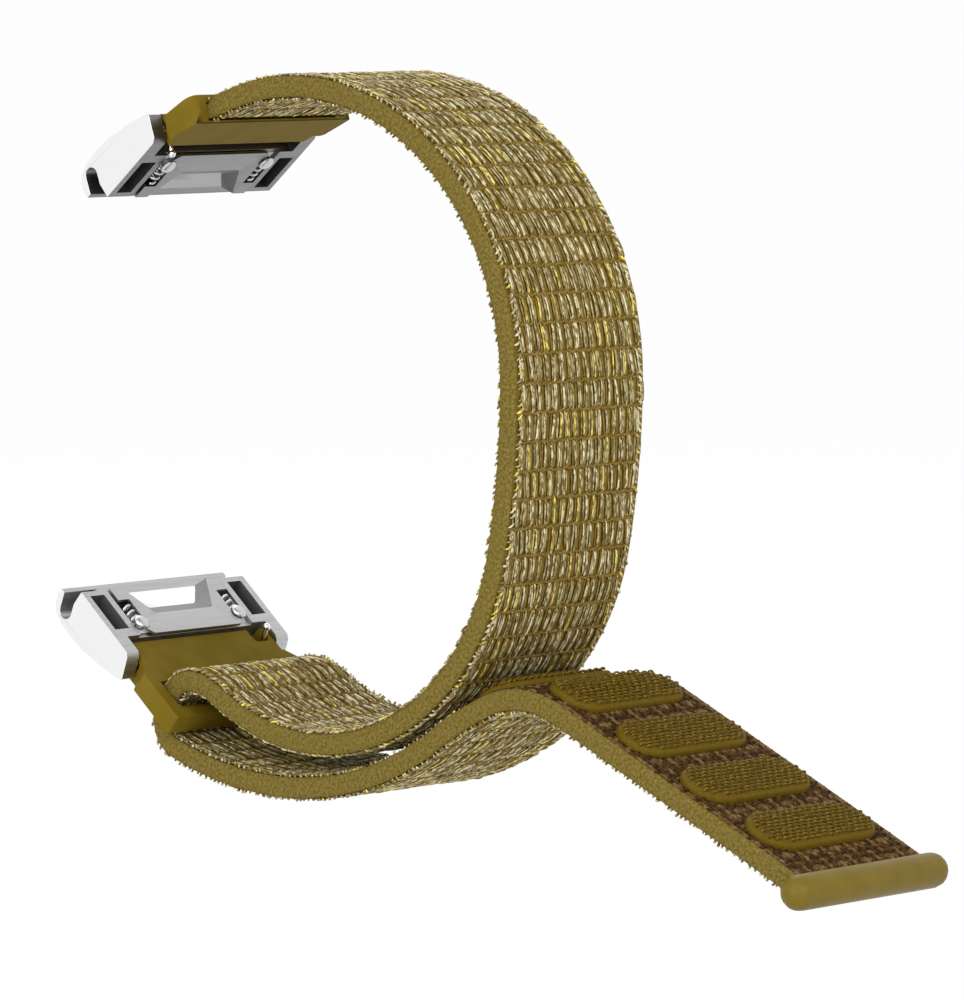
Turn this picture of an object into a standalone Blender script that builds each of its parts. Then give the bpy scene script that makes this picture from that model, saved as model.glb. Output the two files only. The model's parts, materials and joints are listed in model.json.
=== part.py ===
"""Nylon hook-and-loop watch strap with sprung quick-release steel connectors.

Metres, +Z up. The band runs round the wrist axis, which is the Y axis, so the
origin is at the middle of the loop and of the band's width. The band is laid
out as one chain of tangent runs: from the top adapter over the wrist side,
through the slot of the bottom adapter, back outside itself and on to the free
tail. Both connectors and both adapters are placed from that chain.
"""
import math

import bmesh
import bpy
from mathutils import Matrix, Vector

# Width of both connectors, which the band, adapters, pads and end cap follow
CONNECTOR_WIDTH = 0.0260

# Running gap between pieces that touch or move on each other
SEAT_GAP = 0.0003
PIN_GAP = 0.00015
CUT_OVERRUN = 0.001

# Band: woven core
BAND_INSET = 0.0024
BAND_WIDTH = CONNECTOR_WIDTH - 2 * BAND_INSET
BAND_THICKNESS = 0.0025
BAND_EDGE_ROUND = 0.0005

# Band: where the loop leaves the top adapter, and its heading in degrees
LOOP_START_X = -0.0145
LOOP_START_Z = 0.0325
LOOP_START_HEADING = 26.1

# Band: tangent runs as radii, with their turns in degrees (left is positive)
CROWN_RADIUS = 0.0312
SIDE_RADIUS = 0.0945
SIDE_TURN = 11.2
BASE_RADIUS = 0.0275
BASE_TURN = 111.0
LIFT_RADIUS = 0.0074
FOLD_IN_RADIUS = 0.0031
FOLD_IN_TURN = 49.3
SLOT_RUN = 0.0020
FOLD_OUT_RADIUS = 0.0032
FOLD_OUT_TURN = 110.3
OUTER_RADIUS_SHARE = 1.6436
OUTER_RADIUS = BASE_RADIUS * OUTER_RADIUS_SHARE
OUTER_TURN = 31.4
RISE_RADIUS_SHARE = 1.406
RISE_RADIUS = BASE_RADIUS * RISE_RADIUS_SHARE
RISE_TURN = 23.7
SHOULDER_RADIUS = 0.0539
SHOULDER_TURN = 9.1
CREST_RADIUS = 0.0121
CREST_FALL_TURN = 24.3
TAIL_TURN = 0.4
TIP_LENGTH = 0.0078
TIP_TURN = 0.8
STEP_DEGREES = 5.0

# Hook pads on the tail and the moulded end cap
PAD_COUNT = 5
PAD_PITCH = 0.0097
PAD_FIRST_FROM_CREST = -0.0053
PADS_BEFORE_MIDDLE_FLEX = 3
TAIL_PAST_PADS = 0.0047
PAD_LENGTH = 0.0068
PAD_INSET = 0.0015
PAD_WIDTH = BAND_WIDTH - 2 * PAD_INSET
PAD_HEIGHT = 0.0006
PAD_EDGE_ROUND = 0.0002
CAP_RADIUS = 0.0019
CAP_OVERHANG = 0.0022
CAP_LENGTH = BAND_WIDTH + 2 * CAP_OVERHANG
CAP_SEAT_DEPTH = 0.0012

# Connector side profile, from the hook corner of its wrist face
FACE_LENGTH = 0.00945
CONNECTOR_DEPTH = 0.0050
AXIS_SETBACK = 0.00014
AXIS_DEPTH = 0.0020
HOOK_REACH = 0.0025
LIP_DEPTH = 0.0019
LUG_SLOT_WIDTH = 0.0018
LUG_SLOT_SETBACK = 0.0004
LUG_SLOT_DEPTH = 0.0034
LUG_SLOT_TILT = 20.0
OUTER_WALL = 0.0009
HEEL_SHARES = ((1.0, 0.0), (1.058, 0.08), (1.160, 0.57), (1.140, 0.625))
BACK_SHARES = ((0.868, 0.80), (0.603, 0.905), (0.455, 0.975), (0.243, 1.0), (0.0, 0.985))
HOOK_SHARES = ((0.32, 0.95), (0.64, 0.875), (0.88, 0.745), (1.0, 0.56), (1.0, 0.38))

# Connector bay, recesses and pin holes
EAR_THICKNESS = 0.0019
BAY_START = 0.0072
RECESS_EDGE = 0.0009
RECESS_WIDTH = 0.0022
RECESS_START = 0.0007
RECESS_LENGTH = 0.0053
RECESS_DEPTH = 0.0018
EAR_HOLE_DEPTH = 0.0012

# Sliding latch plate, measured on the wrist face from the hook corner
LATCH_THICKNESS = 0.00035
LATCH_PROUD = 0.0002
LATCH_WALL = 0.0012
LATCH_HALF_WIDTH = CONNECTOR_WIDTH / 2 - RECESS_EDGE - RECESS_WIDTH - LATCH_WALL
LATCH_REAR_INSET = 0.0010
LATCH_REAR = 0.0073
LATCH_CORNER = 0.0008
LATCH_TRAVEL = 0.0017
WEB_THICKNESS = 0.0006
TONGUE_THICKNESS = 0.0004
TONGUE_DEPTH = 0.0018
TONGUE_REACH = 0.0016

# Thumb tray pressed into the latch plate, open at its front
TRAY_DEPTH = 0.0009
TRAY_REAR = 0.0025
TRAY_FRONT_INSET = 0.0031
TRAY_REAR_INSET = 0.0051
TRAY_REAR_SLOPE = 0.0019
TRAY_SIDE_SLOPE = 0.0010
TRAY_WALL = 0.0004
TRAY_CORNER = 0.0007

# Latch return springs and guide rivets, in notches at the latch's sides
NOTCH_START = 0.0019
NOTCH_END = 0.0063
NOTCH_WIDTH = 0.0017
LATCH_SPRING_LENGTH = 0.0028
LATCH_SPRING_RADIUS = 0.0006
LATCH_SPRING_WIRE = 0.0003
LATCH_SPRING_TURNS = 3
RIVET_FROM_NOTCH_END = 0.0007
RIVET_SHANK_RADIUS = 0.0004
RIVET_HEAD_RADIUS = 0.00095
RIVET_HEAD_HEIGHT = 0.0004
RIVET_HOLE_DEPTH = 0.0008

# Spring bar inside each adapter's neck
BAR_TUBE_RADIUS = 0.0009
BAR_TUBE_BORE = 0.00065
BAR_TUBE_END_GAP = 0.0003
PIN_TIP_RADIUS = 0.0004
PIN_TIP_ENTRY = 0.0009
PIN_SHANK_RADIUS = 0.0005
FIXED_PIN_SHANK = 0.0095
RELEASE_PIN_SHANK = 0.0036
PIN_SPRING_RADIUS = 0.00038
PIN_SPRING_WIRE = 0.0002
PIN_SPRING_TURNS = 8
LEVER_FROM_NECK_END = 0.0012
LEVER_LEAN = 16.0
LEVER_STEM_RADIUS = 0.0003
LEVER_LENGTH = 0.0029
LEVER_KNOB_RADIUS = 0.00045
LEVER_TRAVEL = 0.0010
LEVER_NOTCH_WIDTH = 0.0024
LEVER_NOTCH_FRONT = 0.0025
LEVER_NOTCH_REAR = 0.0002
LEVER_NOTCH_CORNER = 0.0006

# Adapter necks, which turn on the spring bars between the connectors' ears
NECK_HALF_WIDTH = CONNECTOR_WIDTH / 2 - EAR_THICKNESS - SEAT_GAP
TOP_NECK_INNER_HEIGHT = 0.00135
BOTTOM_NECK_INNER_HEIGHT = 0.00155
NECK_OUTER_HEIGHT = 0.00165
NECK_FRONT = 0.00208
NECK_CORNER = 0.0006
LEVER_FROM_CENTRE = NECK_HALF_WIDTH - LEVER_FROM_NECK_END

# Adapter flanges, as wide as the band and its two cheeks
FLANGE_INSET = 0.0006
FLANGE_HALF_WIDTH = CONNECTOR_WIDTH / 2 - FLANGE_INSET
FLANGE_INNER_START = 0.0018
FLANGE_OUTER_START = 0.0029

# Top adapter: holds the sewn-in end of the band, which is pressed thin inside it
TOP_ADAPTER_TILT = 4.9
TOP_CONNECTOR_TILT = 9.4
TOP_SEAT_ALONG = 0.00654
TOP_SEAT_OFFSET = 0.0018
TOP_SEAT_DEPTH = 0.0034
TOP_SEAT_PRESS = 0.0008
TOP_SEAT_THICKNESS = BAND_THICKNESS - TOP_SEAT_PRESS
TOP_SEAT_INSET = 0.0004
TOP_OUTER_LIP = 0.0073
TOP_INNER_LIP = 0.0065
TOP_OUTER_WALL = 0.0009
TOP_INNER_WALL = 0.0003
TOP_OUTER_LEVEL = -TOP_SEAT_OFFSET + TOP_SEAT_THICKNESS / 2 + PIN_GAP + TOP_OUTER_WALL
TOP_INNER_LEVEL = -TOP_SEAT_OFFSET - TOP_SEAT_THICKNESS / 2 - PIN_GAP - TOP_INNER_WALL
TOP_OUTER_RAMP = 0.0003
TOP_INNER_STEP_START = 0.0001
TOP_INNER_STEP_END = 0.0003
TOP_INNER_STEP = 0.00105
TOP_FLANGE_CORNER = 0.0014
TOP_FLANGE_CHAMFER = 0.0004

# Bottom adapter: a slot and an end bar, round which the band folds
BAND_SLOT_CENTRE = 0.00616
BAND_SLOT_LEVEL = 0.00209
BAND_SLOT_PLAY = 0.0005
BAND_SLOT_START = BAND_SLOT_CENTRE - BAND_THICKNESS / 2 - BAND_SLOT_PLAY
BAND_SLOT_END = BAND_SLOT_CENTRE + BAND_THICKNESS / 2 + SEAT_GAP
END_BAR_LENGTH = 0.0022
END_BAR_END = BAND_SLOT_END + END_BAR_LENGTH
END_BAR_TOP = 0.00175
END_BAR_BASE = 0.0009
BOTTOM_TAPER_START = 0.0022
BOTTOM_TAPER_END = 0.0032
BOTTOM_FLANGE_CORNER = 0.0005
BOTTOM_FLANGE_CHAMFER = 0.0013

# Facets, merge distances, and the angles past which an edge is bevelled or shaded sharp
ROUND_STEPS = 16
CORNER_STEPS = 4
COIL_STEPS = 8
CAP_WELD = 0.0000005
TURN_WELD = 0.000001
BAND_EDGE_ANGLE = 80
PAD_EDGE_ANGLE = 60
SHARP_ANGLE = 35

COLLECTION_NAME = "nylon_watch_strap"
CUTTER_COLLECTION_NAME = "cutters"


def clear_scene():
    for obj in list(bpy.data.objects):
        bpy.data.objects.remove(obj, do_unlink=True)


def make_collection(name):
    collection = bpy.data.collections.new(name)
    bpy.context.scene.collection.children.link(collection)
    return collection


def make_material(name, color, roughness, metallic):
    material = bpy.data.materials.new(name)
    material.use_nodes = True
    shader = material.node_tree.nodes["Principled BSDF"]
    shader.inputs["Base Color"].default_value = (*color, 1.0)
    shader.inputs["Roughness"].default_value = roughness
    shader.inputs["Metallic"].default_value = metallic
    material.diffuse_color = (*color, 1.0)
    return material


clear_scene()
PARTS = make_collection(COLLECTION_NAME)
CUTTERS = make_collection(CUTTER_COLLECTION_NAME)
LOOKS = {
    "band": ((0.30, 0.23, 0.07), 0.95, 0.0),
    "hook_pad": ((0.22, 0.15, 0.02), 0.85, 0.0),
    "moulding": ((0.19, 0.13, 0.02), 0.50, 0.0),
    "polished_steel": ((0.80, 0.80, 0.82), 0.15, 1.0),
    "satin_steel": ((0.45, 0.45, 0.46), 0.35, 1.0),
}


# Plane geometry in the band's side view
def advance(point, run):
    """Follow one tangent run, given as (length, turn in degrees), from (x, z, heading)."""
    x, z, heading = point
    length, turn = run
    start = math.radians(heading)
    if turn == 0:
        return (x + length * math.cos(start), z + length * math.sin(start), heading)
    radius = length / math.radians(turn)
    end = math.radians(heading + turn)
    return (x + radius * (math.sin(end) - math.sin(start)),
            z - radius * (math.cos(end) - math.cos(start)),
            heading + turn)


def arc_run(radius, turn):
    return (radius * math.radians(abs(turn)), turn)


def trace(point, runs):
    """Sample a chain of runs, one point for each few degrees of turn."""
    samples = [point]
    for length, turn in runs:
        steps = max(1, math.ceil(abs(turn) / STEP_DEGREES))
        start = samples[-1]
        for step in range(1, steps + 1):
            samples.append(advance(start, (length * step / steps, turn * step / steps)))
    return samples


def side_point(sample, distance):
    x, z, heading = sample
    angle = math.radians(heading)
    return (x - distance * math.sin(angle), z + distance * math.cos(angle))


def polar(centre, radius, degrees):
    angle = math.radians(degrees)
    return (centre[0] + radius * math.cos(angle), centre[1] + radius * math.sin(angle))


def band_outline(samples, start, end):
    """Close a band's side view; an end is square, a round knuckle or the cup round one."""
    half = BAND_THICKNESS / 2
    cup = half + SEAT_GAP
    swing = math.degrees(math.asin(half / cup))
    first, last = samples[0], samples[-1]
    inner = [s for s in samples
             if not (start == "cup" and math.dist(s[:2], first[:2]) < cup)
             and not (end == "cup" and math.dist(s[:2], last[:2]) < cup)]
    left = [side_point(s, half) for s in inner]
    right = [side_point(s, -half) for s in reversed(inner)]
    tail, head = [], []
    shares = [i / CORNER_STEPS for i in range(CORNER_STEPS + 1)]
    if end == "round":
        tail = [polar(last, half, last[2] + 90 - 180 * share) for share in shares[1:-1]]
    if end == "cup":
        tail = [polar(last, cup, last[2] + 180 - swing + 2 * swing * share) for share in shares]
    if start == "round":
        head = [polar(first, half, first[2] - 90 - 180 * share) for share in shares[1:-1]]
    if start == "cup":
        head = [polar(first, cup, first[2] - swing + 2 * swing * share) for share in shares]
    return left + tail + right + head


def rounded(points, radius):
    """Round every corner of a closed outline with an arc, as far as its sides allow."""
    outline = []
    count = len(points)
    for index, corner in enumerate(points):
        here = Vector(corner)
        before = Vector(points[index - 1]) - here
        after = Vector(points[(index + 1) % count]) - here
        half_angle = before.angle(after) / 2
        reach = min(radius / math.tan(half_angle), before.length / 2, after.length / 2)
        start = here + before.normalized() * reach
        end = here + after.normalized() * reach
        for step in range(CORNER_STEPS + 1):
            share = step / CORNER_STEPS
            near = start.lerp(here, share)
            far = here.lerp(end, share)
            outline.append(tuple(near.lerp(far, share)))
    return outline


# Frames: local x along the piece, y away from the wrist (or up), z across the width
def frame_matrix(x, z, heading, flip):
    angle = math.radians(heading)
    along = Vector((math.cos(angle), 0, math.sin(angle)))
    side = -1 if flip else 1
    outward = Vector((-math.sin(angle) * side, 0, math.cos(angle) * side))
    across = along.cross(outward)
    matrix = Matrix((along, outward, across)).transposed().to_4x4()
    matrix.translation = Vector((x, 0, z))
    return matrix


def make_frame(name, matrix):
    empty = bpy.data.objects.new(name, None)
    PARTS.objects.link(empty)
    empty.matrix_world = matrix
    bpy.context.view_layer.update()
    return empty


def carry(obj, axis):
    """Hang an object on the empty at its joint's axis, where the object already lies."""
    place = obj.matrix_world.copy()
    obj.parent = axis
    obj.matrix_world = place
    bpy.context.view_layer.update()


def plane_matrix(origin, x_axis, y_axis):
    x_axis, y_axis = Vector(x_axis), Vector(y_axis)
    matrix = Matrix((x_axis, y_axis, x_axis.cross(y_axis))).transposed().to_4x4()
    matrix.translation = Vector(origin)
    return matrix


# Mesh makers; each returns mesh data in its frame's own axes
def mesh_from_curve(curve, local):
    obj = bpy.data.objects.new("outline", curve)
    PARTS.objects.link(obj)
    bpy.context.view_layer.update()
    evaluated = obj.evaluated_get(bpy.context.evaluated_depsgraph_get())
    mesh = bpy.data.meshes.new_from_object(evaluated)
    bpy.data.objects.remove(obj, do_unlink=True)
    work = bmesh.new()
    work.from_mesh(mesh)
    bmesh.ops.remove_doubles(work, verts=work.verts, dist=CAP_WELD)
    bmesh.ops.recalc_face_normals(work, faces=work.faces)
    work.to_mesh(mesh)
    work.free()
    mesh.transform(local)
    return mesh


def prism(outline, half_width, local=Matrix.Identity(4)):
    """Extrude a flat outline both ways from its plane."""
    curve = bpy.data.curves.new("outline", "CURVE")
    curve.dimensions = "2D"
    curve.fill_mode = "BOTH"
    curve.extrude = half_width
    spline = curve.splines.new("POLY")
    spline.points.add(len(outline) - 1)
    for point, (x, y) in zip(spline.points, outline):
        point.co = (x, y, 0, 1)
    spline.use_cyclic_u = True
    return mesh_from_curve(curve, local)


def wire(points, radius):
    """A round wire along a line of points, with filled ends."""
    curve = bpy.data.curves.new("wire", "CURVE")
    curve.dimensions = "3D"
    curve.bevel_depth = radius
    curve.bevel_resolution = 1
    curve.use_fill_caps = True
    spline = curve.splines.new("POLY")
    spline.points.add(len(points) - 1)
    for point, place in zip(spline.points, points):
        point.co = (*place, 1)
    return mesh_from_curve(curve, Matrix.Identity(4))


def block(x_span, y_span, z_span):
    """A box between two corners."""
    mesh = bpy.data.meshes.new("block")
    work = bmesh.new()
    bmesh.ops.create_cube(work, size=1.0)
    spans = (x_span, y_span, z_span)
    size = Matrix.Diagonal([abs(b - a) for a, b in spans]).to_4x4()
    place = Matrix.Translation([(a + b) / 2 for a, b in spans])
    bmesh.ops.transform(work, matrix=place @ size, verts=work.verts)
    work.to_mesh(mesh)
    work.free()
    return mesh


def rod(radius, start, end):
    """A cylinder between two points."""
    start, end = Vector(start), Vector(end)
    mesh = bpy.data.meshes.new("rod")
    work = bmesh.new()
    bmesh.ops.create_cone(work, cap_ends=True, segments=ROUND_STEPS, radius1=radius,
                          radius2=radius, depth=(end - start).length)
    turn = Vector((0, 0, 1)).rotation_difference(end - start).to_matrix().to_4x4()
    bmesh.ops.transform(work, matrix=Matrix.Translation((start + end) / 2) @ turn,
                        verts=work.verts)
    work.to_mesh(mesh)
    work.free()
    return mesh


def ball(radius, centre):
    mesh = bpy.data.meshes.new("ball")
    work = bmesh.new()
    bmesh.ops.create_uvsphere(work, u_segments=ROUND_STEPS, v_segments=ROUND_STEPS // 2,
                              radius=radius)
    bmesh.ops.translate(work, vec=centre, verts=work.verts)
    work.to_mesh(mesh)
    work.free()
    return mesh


def tapered(outline_top, outline_base, top, base):
    """A block across x and z that narrows along y from one outline to a like one."""
    work = bmesh.new()
    ring = [work.verts.new((x, top, z)) for x, z in outline_top]
    lid = work.faces.new(ring)
    grown = bmesh.ops.extrude_face_region(work, geom=[lid])
    moved = [item for item in grown["geom"] if isinstance(item, bmesh.types.BMVert)]
    for vert in moved:
        nearest = min(range(len(outline_top)),
                      key=lambda i: math.dist(outline_top[i], (vert.co.x, vert.co.z)))
        x, z = outline_base[nearest]
        vert.co = (x, base, z)
    bmesh.ops.recalc_face_normals(work, faces=work.faces)
    mesh = bpy.data.meshes.new("tapered")
    work.to_mesh(mesh)
    work.free()
    return mesh


# Object makers
def add_object(name, mesh, frame, collection):
    obj = bpy.data.objects.new(name, mesh)
    collection.objects.link(obj)
    obj.parent = frame
    bpy.context.view_layer.update()
    return obj


def add_part(name, mesh, frame, look):
    obj = add_object(name, mesh, frame, PARTS)
    color, roughness, metallic = LOOKS[look]
    mesh.materials.clear()
    mesh.materials.append(make_material(name + "_" + look, color, roughness, metallic))
    mesh.shade_smooth()
    mesh.set_sharp_from_angle(angle=math.radians(SHARP_ANGLE))
    return obj


def combine(obj, mesh, frame, operation):
    """Cut a tool out of a part, or join or trim the part with it."""
    tool = add_object(obj.name + "_tool", mesh, frame, CUTTERS)
    tool.hide_render = True
    tool.display_type = "WIRE"
    modifier = obj.modifiers.new(operation.lower(), "BOOLEAN")
    modifier.operation = operation
    modifier.solver = "EXACT"
    modifier.object = tool
    return tool


def cut(obj, mesh, frame):
    return combine(obj, mesh, frame, "DIFFERENCE")


def join(obj, mesh, frame):
    return combine(obj, mesh, frame, "UNION")


def round_edges(obj, width, degrees):
    modifier = obj.modifiers.new("edge_round", "BEVEL")
    modifier.width = width
    modifier.segments = 1
    modifier.limit_method = "ANGLE"
    modifier.angle_limit = math.radians(degrees)


def turned_part(name, profile, frame, look):
    """Revolve an (x radius, z place) profile, run from top to bottom, about the frame's z."""
    mesh = bpy.data.meshes.new(name)
    work = bmesh.new()
    verts = [work.verts.new((radius, 0, place)) for radius, place in profile]
    for first, second in zip(verts, verts[1:]):
        work.edges.new((first, second))
    work.to_mesh(mesh)
    work.free()
    obj = add_part(name, mesh, frame, look)
    screw = obj.modifiers.new("turn", "SCREW")
    screw.steps = ROUND_STEPS
    screw.render_steps = ROUND_STEPS
    screw.use_merge_vertices = True
    screw.merge_threshold = TURN_WELD
    screw.use_smooth_shade = True
    return obj


def coil_points(radius, turns, length, wire_diameter):
    """A coil spring along z, with both ends run out straight for one wire diameter."""
    run = length - wire_diameter
    count = turns * COIL_STEPS
    points = []
    for index in range(count + 1):
        angle = 2 * math.pi * index / COIL_STEPS
        height = wire_diameter / 2 + run * index / count
        points.append(Vector((radius * math.cos(angle), radius * math.sin(angle), height)))
    lead_in = Vector((0, -1, 0)) * wire_diameter
    lead_out = Vector((0, 1, 0)) * wire_diameter
    return [points[0] + lead_in] + points + [points[-1] + lead_out]


def report_coil_gap(name, points, wire_diameter):
    """Print a coil's least gap to itself, measured between its own points."""
    least = min((a - b).length for i, a in enumerate(points)
                for b in points[i + COIL_STEPS // 2:])
    print(name, "least gap to itself", round((least - wire_diameter) * 1000, 3), "mm")


# The band's chain of runs
CROWN = arc_run(CROWN_RADIUS, -(LOOP_START_HEADING + 90))
SIDE = arc_run(SIDE_RADIUS, -SIDE_TURN)
BASE = arc_run(BASE_RADIUS, -BASE_TURN)
LIFT = arc_run(LIFT_RADIUS, SIDE_TURN + BASE_TURN - 90)
FOLD_IN = arc_run(FOLD_IN_RADIUS, FOLD_IN_TURN)
THROUGH = (SLOT_RUN, 0.0)
FOLD_OUT = arc_run(FOLD_OUT_RADIUS, FOLD_OUT_TURN)
OUTER = arc_run(OUTER_RADIUS, OUTER_TURN)
RISE = arc_run(RISE_RADIUS, RISE_TURN)
SHOULDER = arc_run(SHOULDER_RADIUS, -SHOULDER_TURN)

LOOP_START = (LOOP_START_X, LOOP_START_Z, LOOP_START_HEADING)
UPPER_LEAD = TOP_OUTER_LIP - TOP_SEAT_ALONG + PIN_GAP
UPPER_LEAD_TURN = CROWN[1] * UPPER_LEAD / CROWN[0]
UPPER_START = advance(LOOP_START, (UPPER_LEAD, UPPER_LEAD_TURN))
UPPER = (CROWN[0] - UPPER_LEAD, CROWN[1] - UPPER_LEAD_TURN)
LOOP_FLEX = advance(LOOP_START, CROWN)
SLOT_ENTRY = trace(LOOP_FLEX, [SIDE, BASE, LIFT, FOLD_IN])[-1]
TAIL_FLEX = trace(SLOT_ENTRY, [THROUGH, FOLD_OUT, OUTER, RISE])[-1]
TAIL_HEADING = (TAIL_FLEX[2] - SHOULDER_TURN + 180) % 360 - 180
CREST = arc_run(CREST_RADIUS, -TAIL_HEADING)
CREST_FALL = arc_run(CREST_RADIUS, -CREST_FALL_TURN)
CREST_FLEX = trace(TAIL_FLEX, [SHOULDER, CREST])[-1]
LAST_PAD_END = PAD_FIRST_FROM_CREST + PAD_PITCH * (PAD_COUNT - 1) + PAD_LENGTH / 2
TAIL_LENGTH = LAST_PAD_END + TAIL_PAST_PADS - CREST_FALL[0] - TIP_LENGTH
MIDDLE_FLEX_DISTANCE = PAD_FIRST_FROM_CREST + PAD_PITCH * (PADS_BEFORE_MIDDLE_FLEX - 1 / 2)
MIDDLE_SHARE = (MIDDLE_FLEX_DISTANCE - CREST_FALL[0]) / TAIL_LENGTH
MIDDLE_RUNS = [CREST_FALL, (TAIL_LENGTH * MIDDLE_SHARE, -TAIL_TURN * MIDDLE_SHARE)]
END_RUNS = [(TAIL_LENGTH * (1 - MIDDLE_SHARE), -TAIL_TURN * (1 - MIDDLE_SHARE)),
            (TIP_LENGTH, -TIP_TURN)]
MIDDLE_FLEX = trace(CREST_FLEX, MIDDLE_RUNS)[-1]
TAIL_END = trace(MIDDLE_FLEX, END_RUNS)[-1]


def flex_frame(name, point):
    """A frame on a flex axis of the band, kept square to the world."""
    return make_frame(name, frame_matrix(point[0], point[1], 0.0, False))


def make_band(name, frame, start_point, runs, start, end):
    samples = trace(start_point, runs)
    origin = frame.matrix_world.translation
    outline = [(x - origin.x, z - origin.z) for x, z in band_outline(samples, start, end)]
    band = add_part(name, prism(outline, BAND_WIDTH / 2), frame, "band")
    round_edges(band, BAND_EDGE_ROUND, BAND_EDGE_ANGLE)
    return band


def make_bands(frames):
    upper = make_band("strap_upper", frames["loop_flex"], UPPER_START, [UPPER], "square", "cup")
    tongue = seat_block(-TOP_SEAT_DEPTH, TOP_SEAT_DEPTH, TOP_SEAT_THICKNESS / 2,
                        BAND_WIDTH / 2 - TOP_SEAT_INSET)
    join(upper, tongue, frames["top_adapter"])
    make_band("strap_lower", frames["loop_flex"], LOOP_FLEX,
              [SIDE, BASE, LIFT, FOLD_IN, THROUGH, FOLD_OUT, OUTER, RISE], "round", "round")
    make_band("strap_tail_root", frames["tail_flex"], TAIL_FLEX, [SHOULDER, CREST],
              "cup", "round")
    make_band("strap_tail_middle", frames["crest_flex"], CREST_FLEX, MIDDLE_RUNS,
              "cup", "round")
    make_band("strap_tail_end", frames["middle_flex"], MIDDLE_FLEX, END_RUNS, "cup", "square")


def seat_block(start, end, half_thickness, half_width):
    """A block along the band's sewn-in end, in the top adapter's frame."""
    mesh = block((start, end), (-half_thickness, half_thickness), (-half_width, half_width))
    turn = Matrix.Rotation(math.radians(-TOP_ADAPTER_TILT), 4, "Z")
    mesh.transform(Matrix.Translation((TOP_SEAT_ALONG, -TOP_SEAT_OFFSET, 0)) @ turn)
    return mesh


def tail_place(distance):
    """The band's place at a distance past the crest, or before it if negative."""
    if distance < 0:
        before = advance(CREST_FLEX, (-CREST[0], -CREST[1]))
        share = 1 + distance / CREST[0]
        if share > 0:
            return advance(before, (CREST[0] * share, CREST[1] * share))
        left = -distance - CREST[0]
        return advance(before, (-left, math.degrees(left / SHOULDER_RADIUS)))
    point = CREST_FLEX
    for length, turn in MIDDLE_RUNS + END_RUNS:
        if distance <= length:
            return advance(point, (distance, turn * distance / length))
        point = advance(point, (length, turn))
        distance -= length
    return advance(point, (distance, 0.0))


def pad_frame(frames, number):
    """The flex frame of the length of tail that a pad is fixed to."""
    if number == 0:
        return frames["tail_flex"]
    return frames["crest_flex" if number < PADS_BEFORE_MIDDLE_FLEX else "middle_flex"]


def make_hook_pads(frames):
    half_length, half_width = PAD_LENGTH / 2, PAD_WIDTH / 2
    corners = [(-half_length, -half_width), (half_length, -half_width),
               (half_length, half_width), (-half_length, half_width)]
    for number in range(PAD_COUNT):
        x, z, heading = tail_place(PAD_FIRST_FROM_CREST + number * PAD_PITCH)
        frame = pad_frame(frames, number)
        matrix = frame_matrix(x, z, heading, False)
        level = BAND_THICKNESS / 2 + SEAT_GAP + PAD_HEIGHT / 2
        lying = plane_matrix((0, level, 0), (1, 0, 0), (0, 0, -1))
        local = frame.matrix_world.inverted() @ matrix @ lying
        outline = rounded(corners, half_length)
        pad = add_part("hook_pad_%d" % number, prism(outline, PAD_HEIGHT / 2, local), frame,
                       "hook_pad")
        round_edges(pad, PAD_EDGE_ROUND, PAD_EDGE_ANGLE)


def make_end_cap(frames):
    centre = advance(TAIL_END, (CAP_RADIUS - CAP_SEAT_DEPTH, 0.0))
    matrix = frame_matrix(centre[0], centre[1], centre[2], False)
    frame = make_frame("cap_axis", matrix)
    carry(frame, frames["middle_flex"])
    half_barrel = CAP_LENGTH / 2 - CAP_RADIUS
    quarter = ROUND_STEPS // 4
    profile = [(CAP_RADIUS * math.sin(math.pi / 2 * i / quarter),
                half_barrel + CAP_RADIUS * math.cos(math.pi / 2 * i / quarter))
               for i in range(quarter + 1)]
    profile += [(radius, -place) for radius, place in reversed(profile)]
    cap = turned_part("end_cap", profile, frame, "moulding")
    half = BAND_THICKNESS / 2 + PIN_GAP
    depth = CAP_RADIUS - CAP_SEAT_DEPTH
    side = BAND_WIDTH / 2 + PIN_GAP
    cut(cap, block((-CAP_RADIUS - CUT_OVERRUN, -depth + SEAT_GAP), (-half, half),
                   (-side, side)), frame)
    carry(cap, frames["middle_flex"])


# Connector pieces, in the frame of the spring bar axis
def on_face(along, depth):
    """A place measured from the hook corner of the wrist face, in the axis frame."""
    return (along - FACE_LENGTH - AXIS_SETBACK, depth - AXIS_DEPTH)


def face_block(along_span, depth_span, across_span):
    (x0, y0), (x1, y1) = (on_face(a, d) for a, d in zip(along_span, depth_span))
    return block((x0, x1), (y0, y1), across_span)


def flat_prism(outline, top_depth, base_depth):
    """Extrude an (along, across) outline of the wrist face between two depths."""
    moved = [(on_face(along, 0)[0], across) for along, across in outline]
    middle = (top_depth + base_depth) / 2 - AXIS_DEPTH
    lying = plane_matrix((0, middle, 0), (1, 0, 0), (0, 0, 1))
    return prism(moved, abs(base_depth - top_depth) / 2, lying)


def ear_inner_place():
    return CONNECTOR_WIDTH / 2 - EAR_THICKNESS


def connector_outline():
    points = [on_face(0, 0)]
    points += [on_face(a * FACE_LENGTH, d * CONNECTOR_DEPTH) for a, d in HEEL_SHARES]
    points += [on_face(a * FACE_LENGTH, d * CONNECTOR_DEPTH) for a, d in BACK_SHARES]
    points += [on_face(-a * HOOK_REACH, d * CONNECTOR_DEPTH) for a, d in HOOK_SHARES]
    points.append(on_face(0, LIP_DEPTH))
    return points


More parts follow.
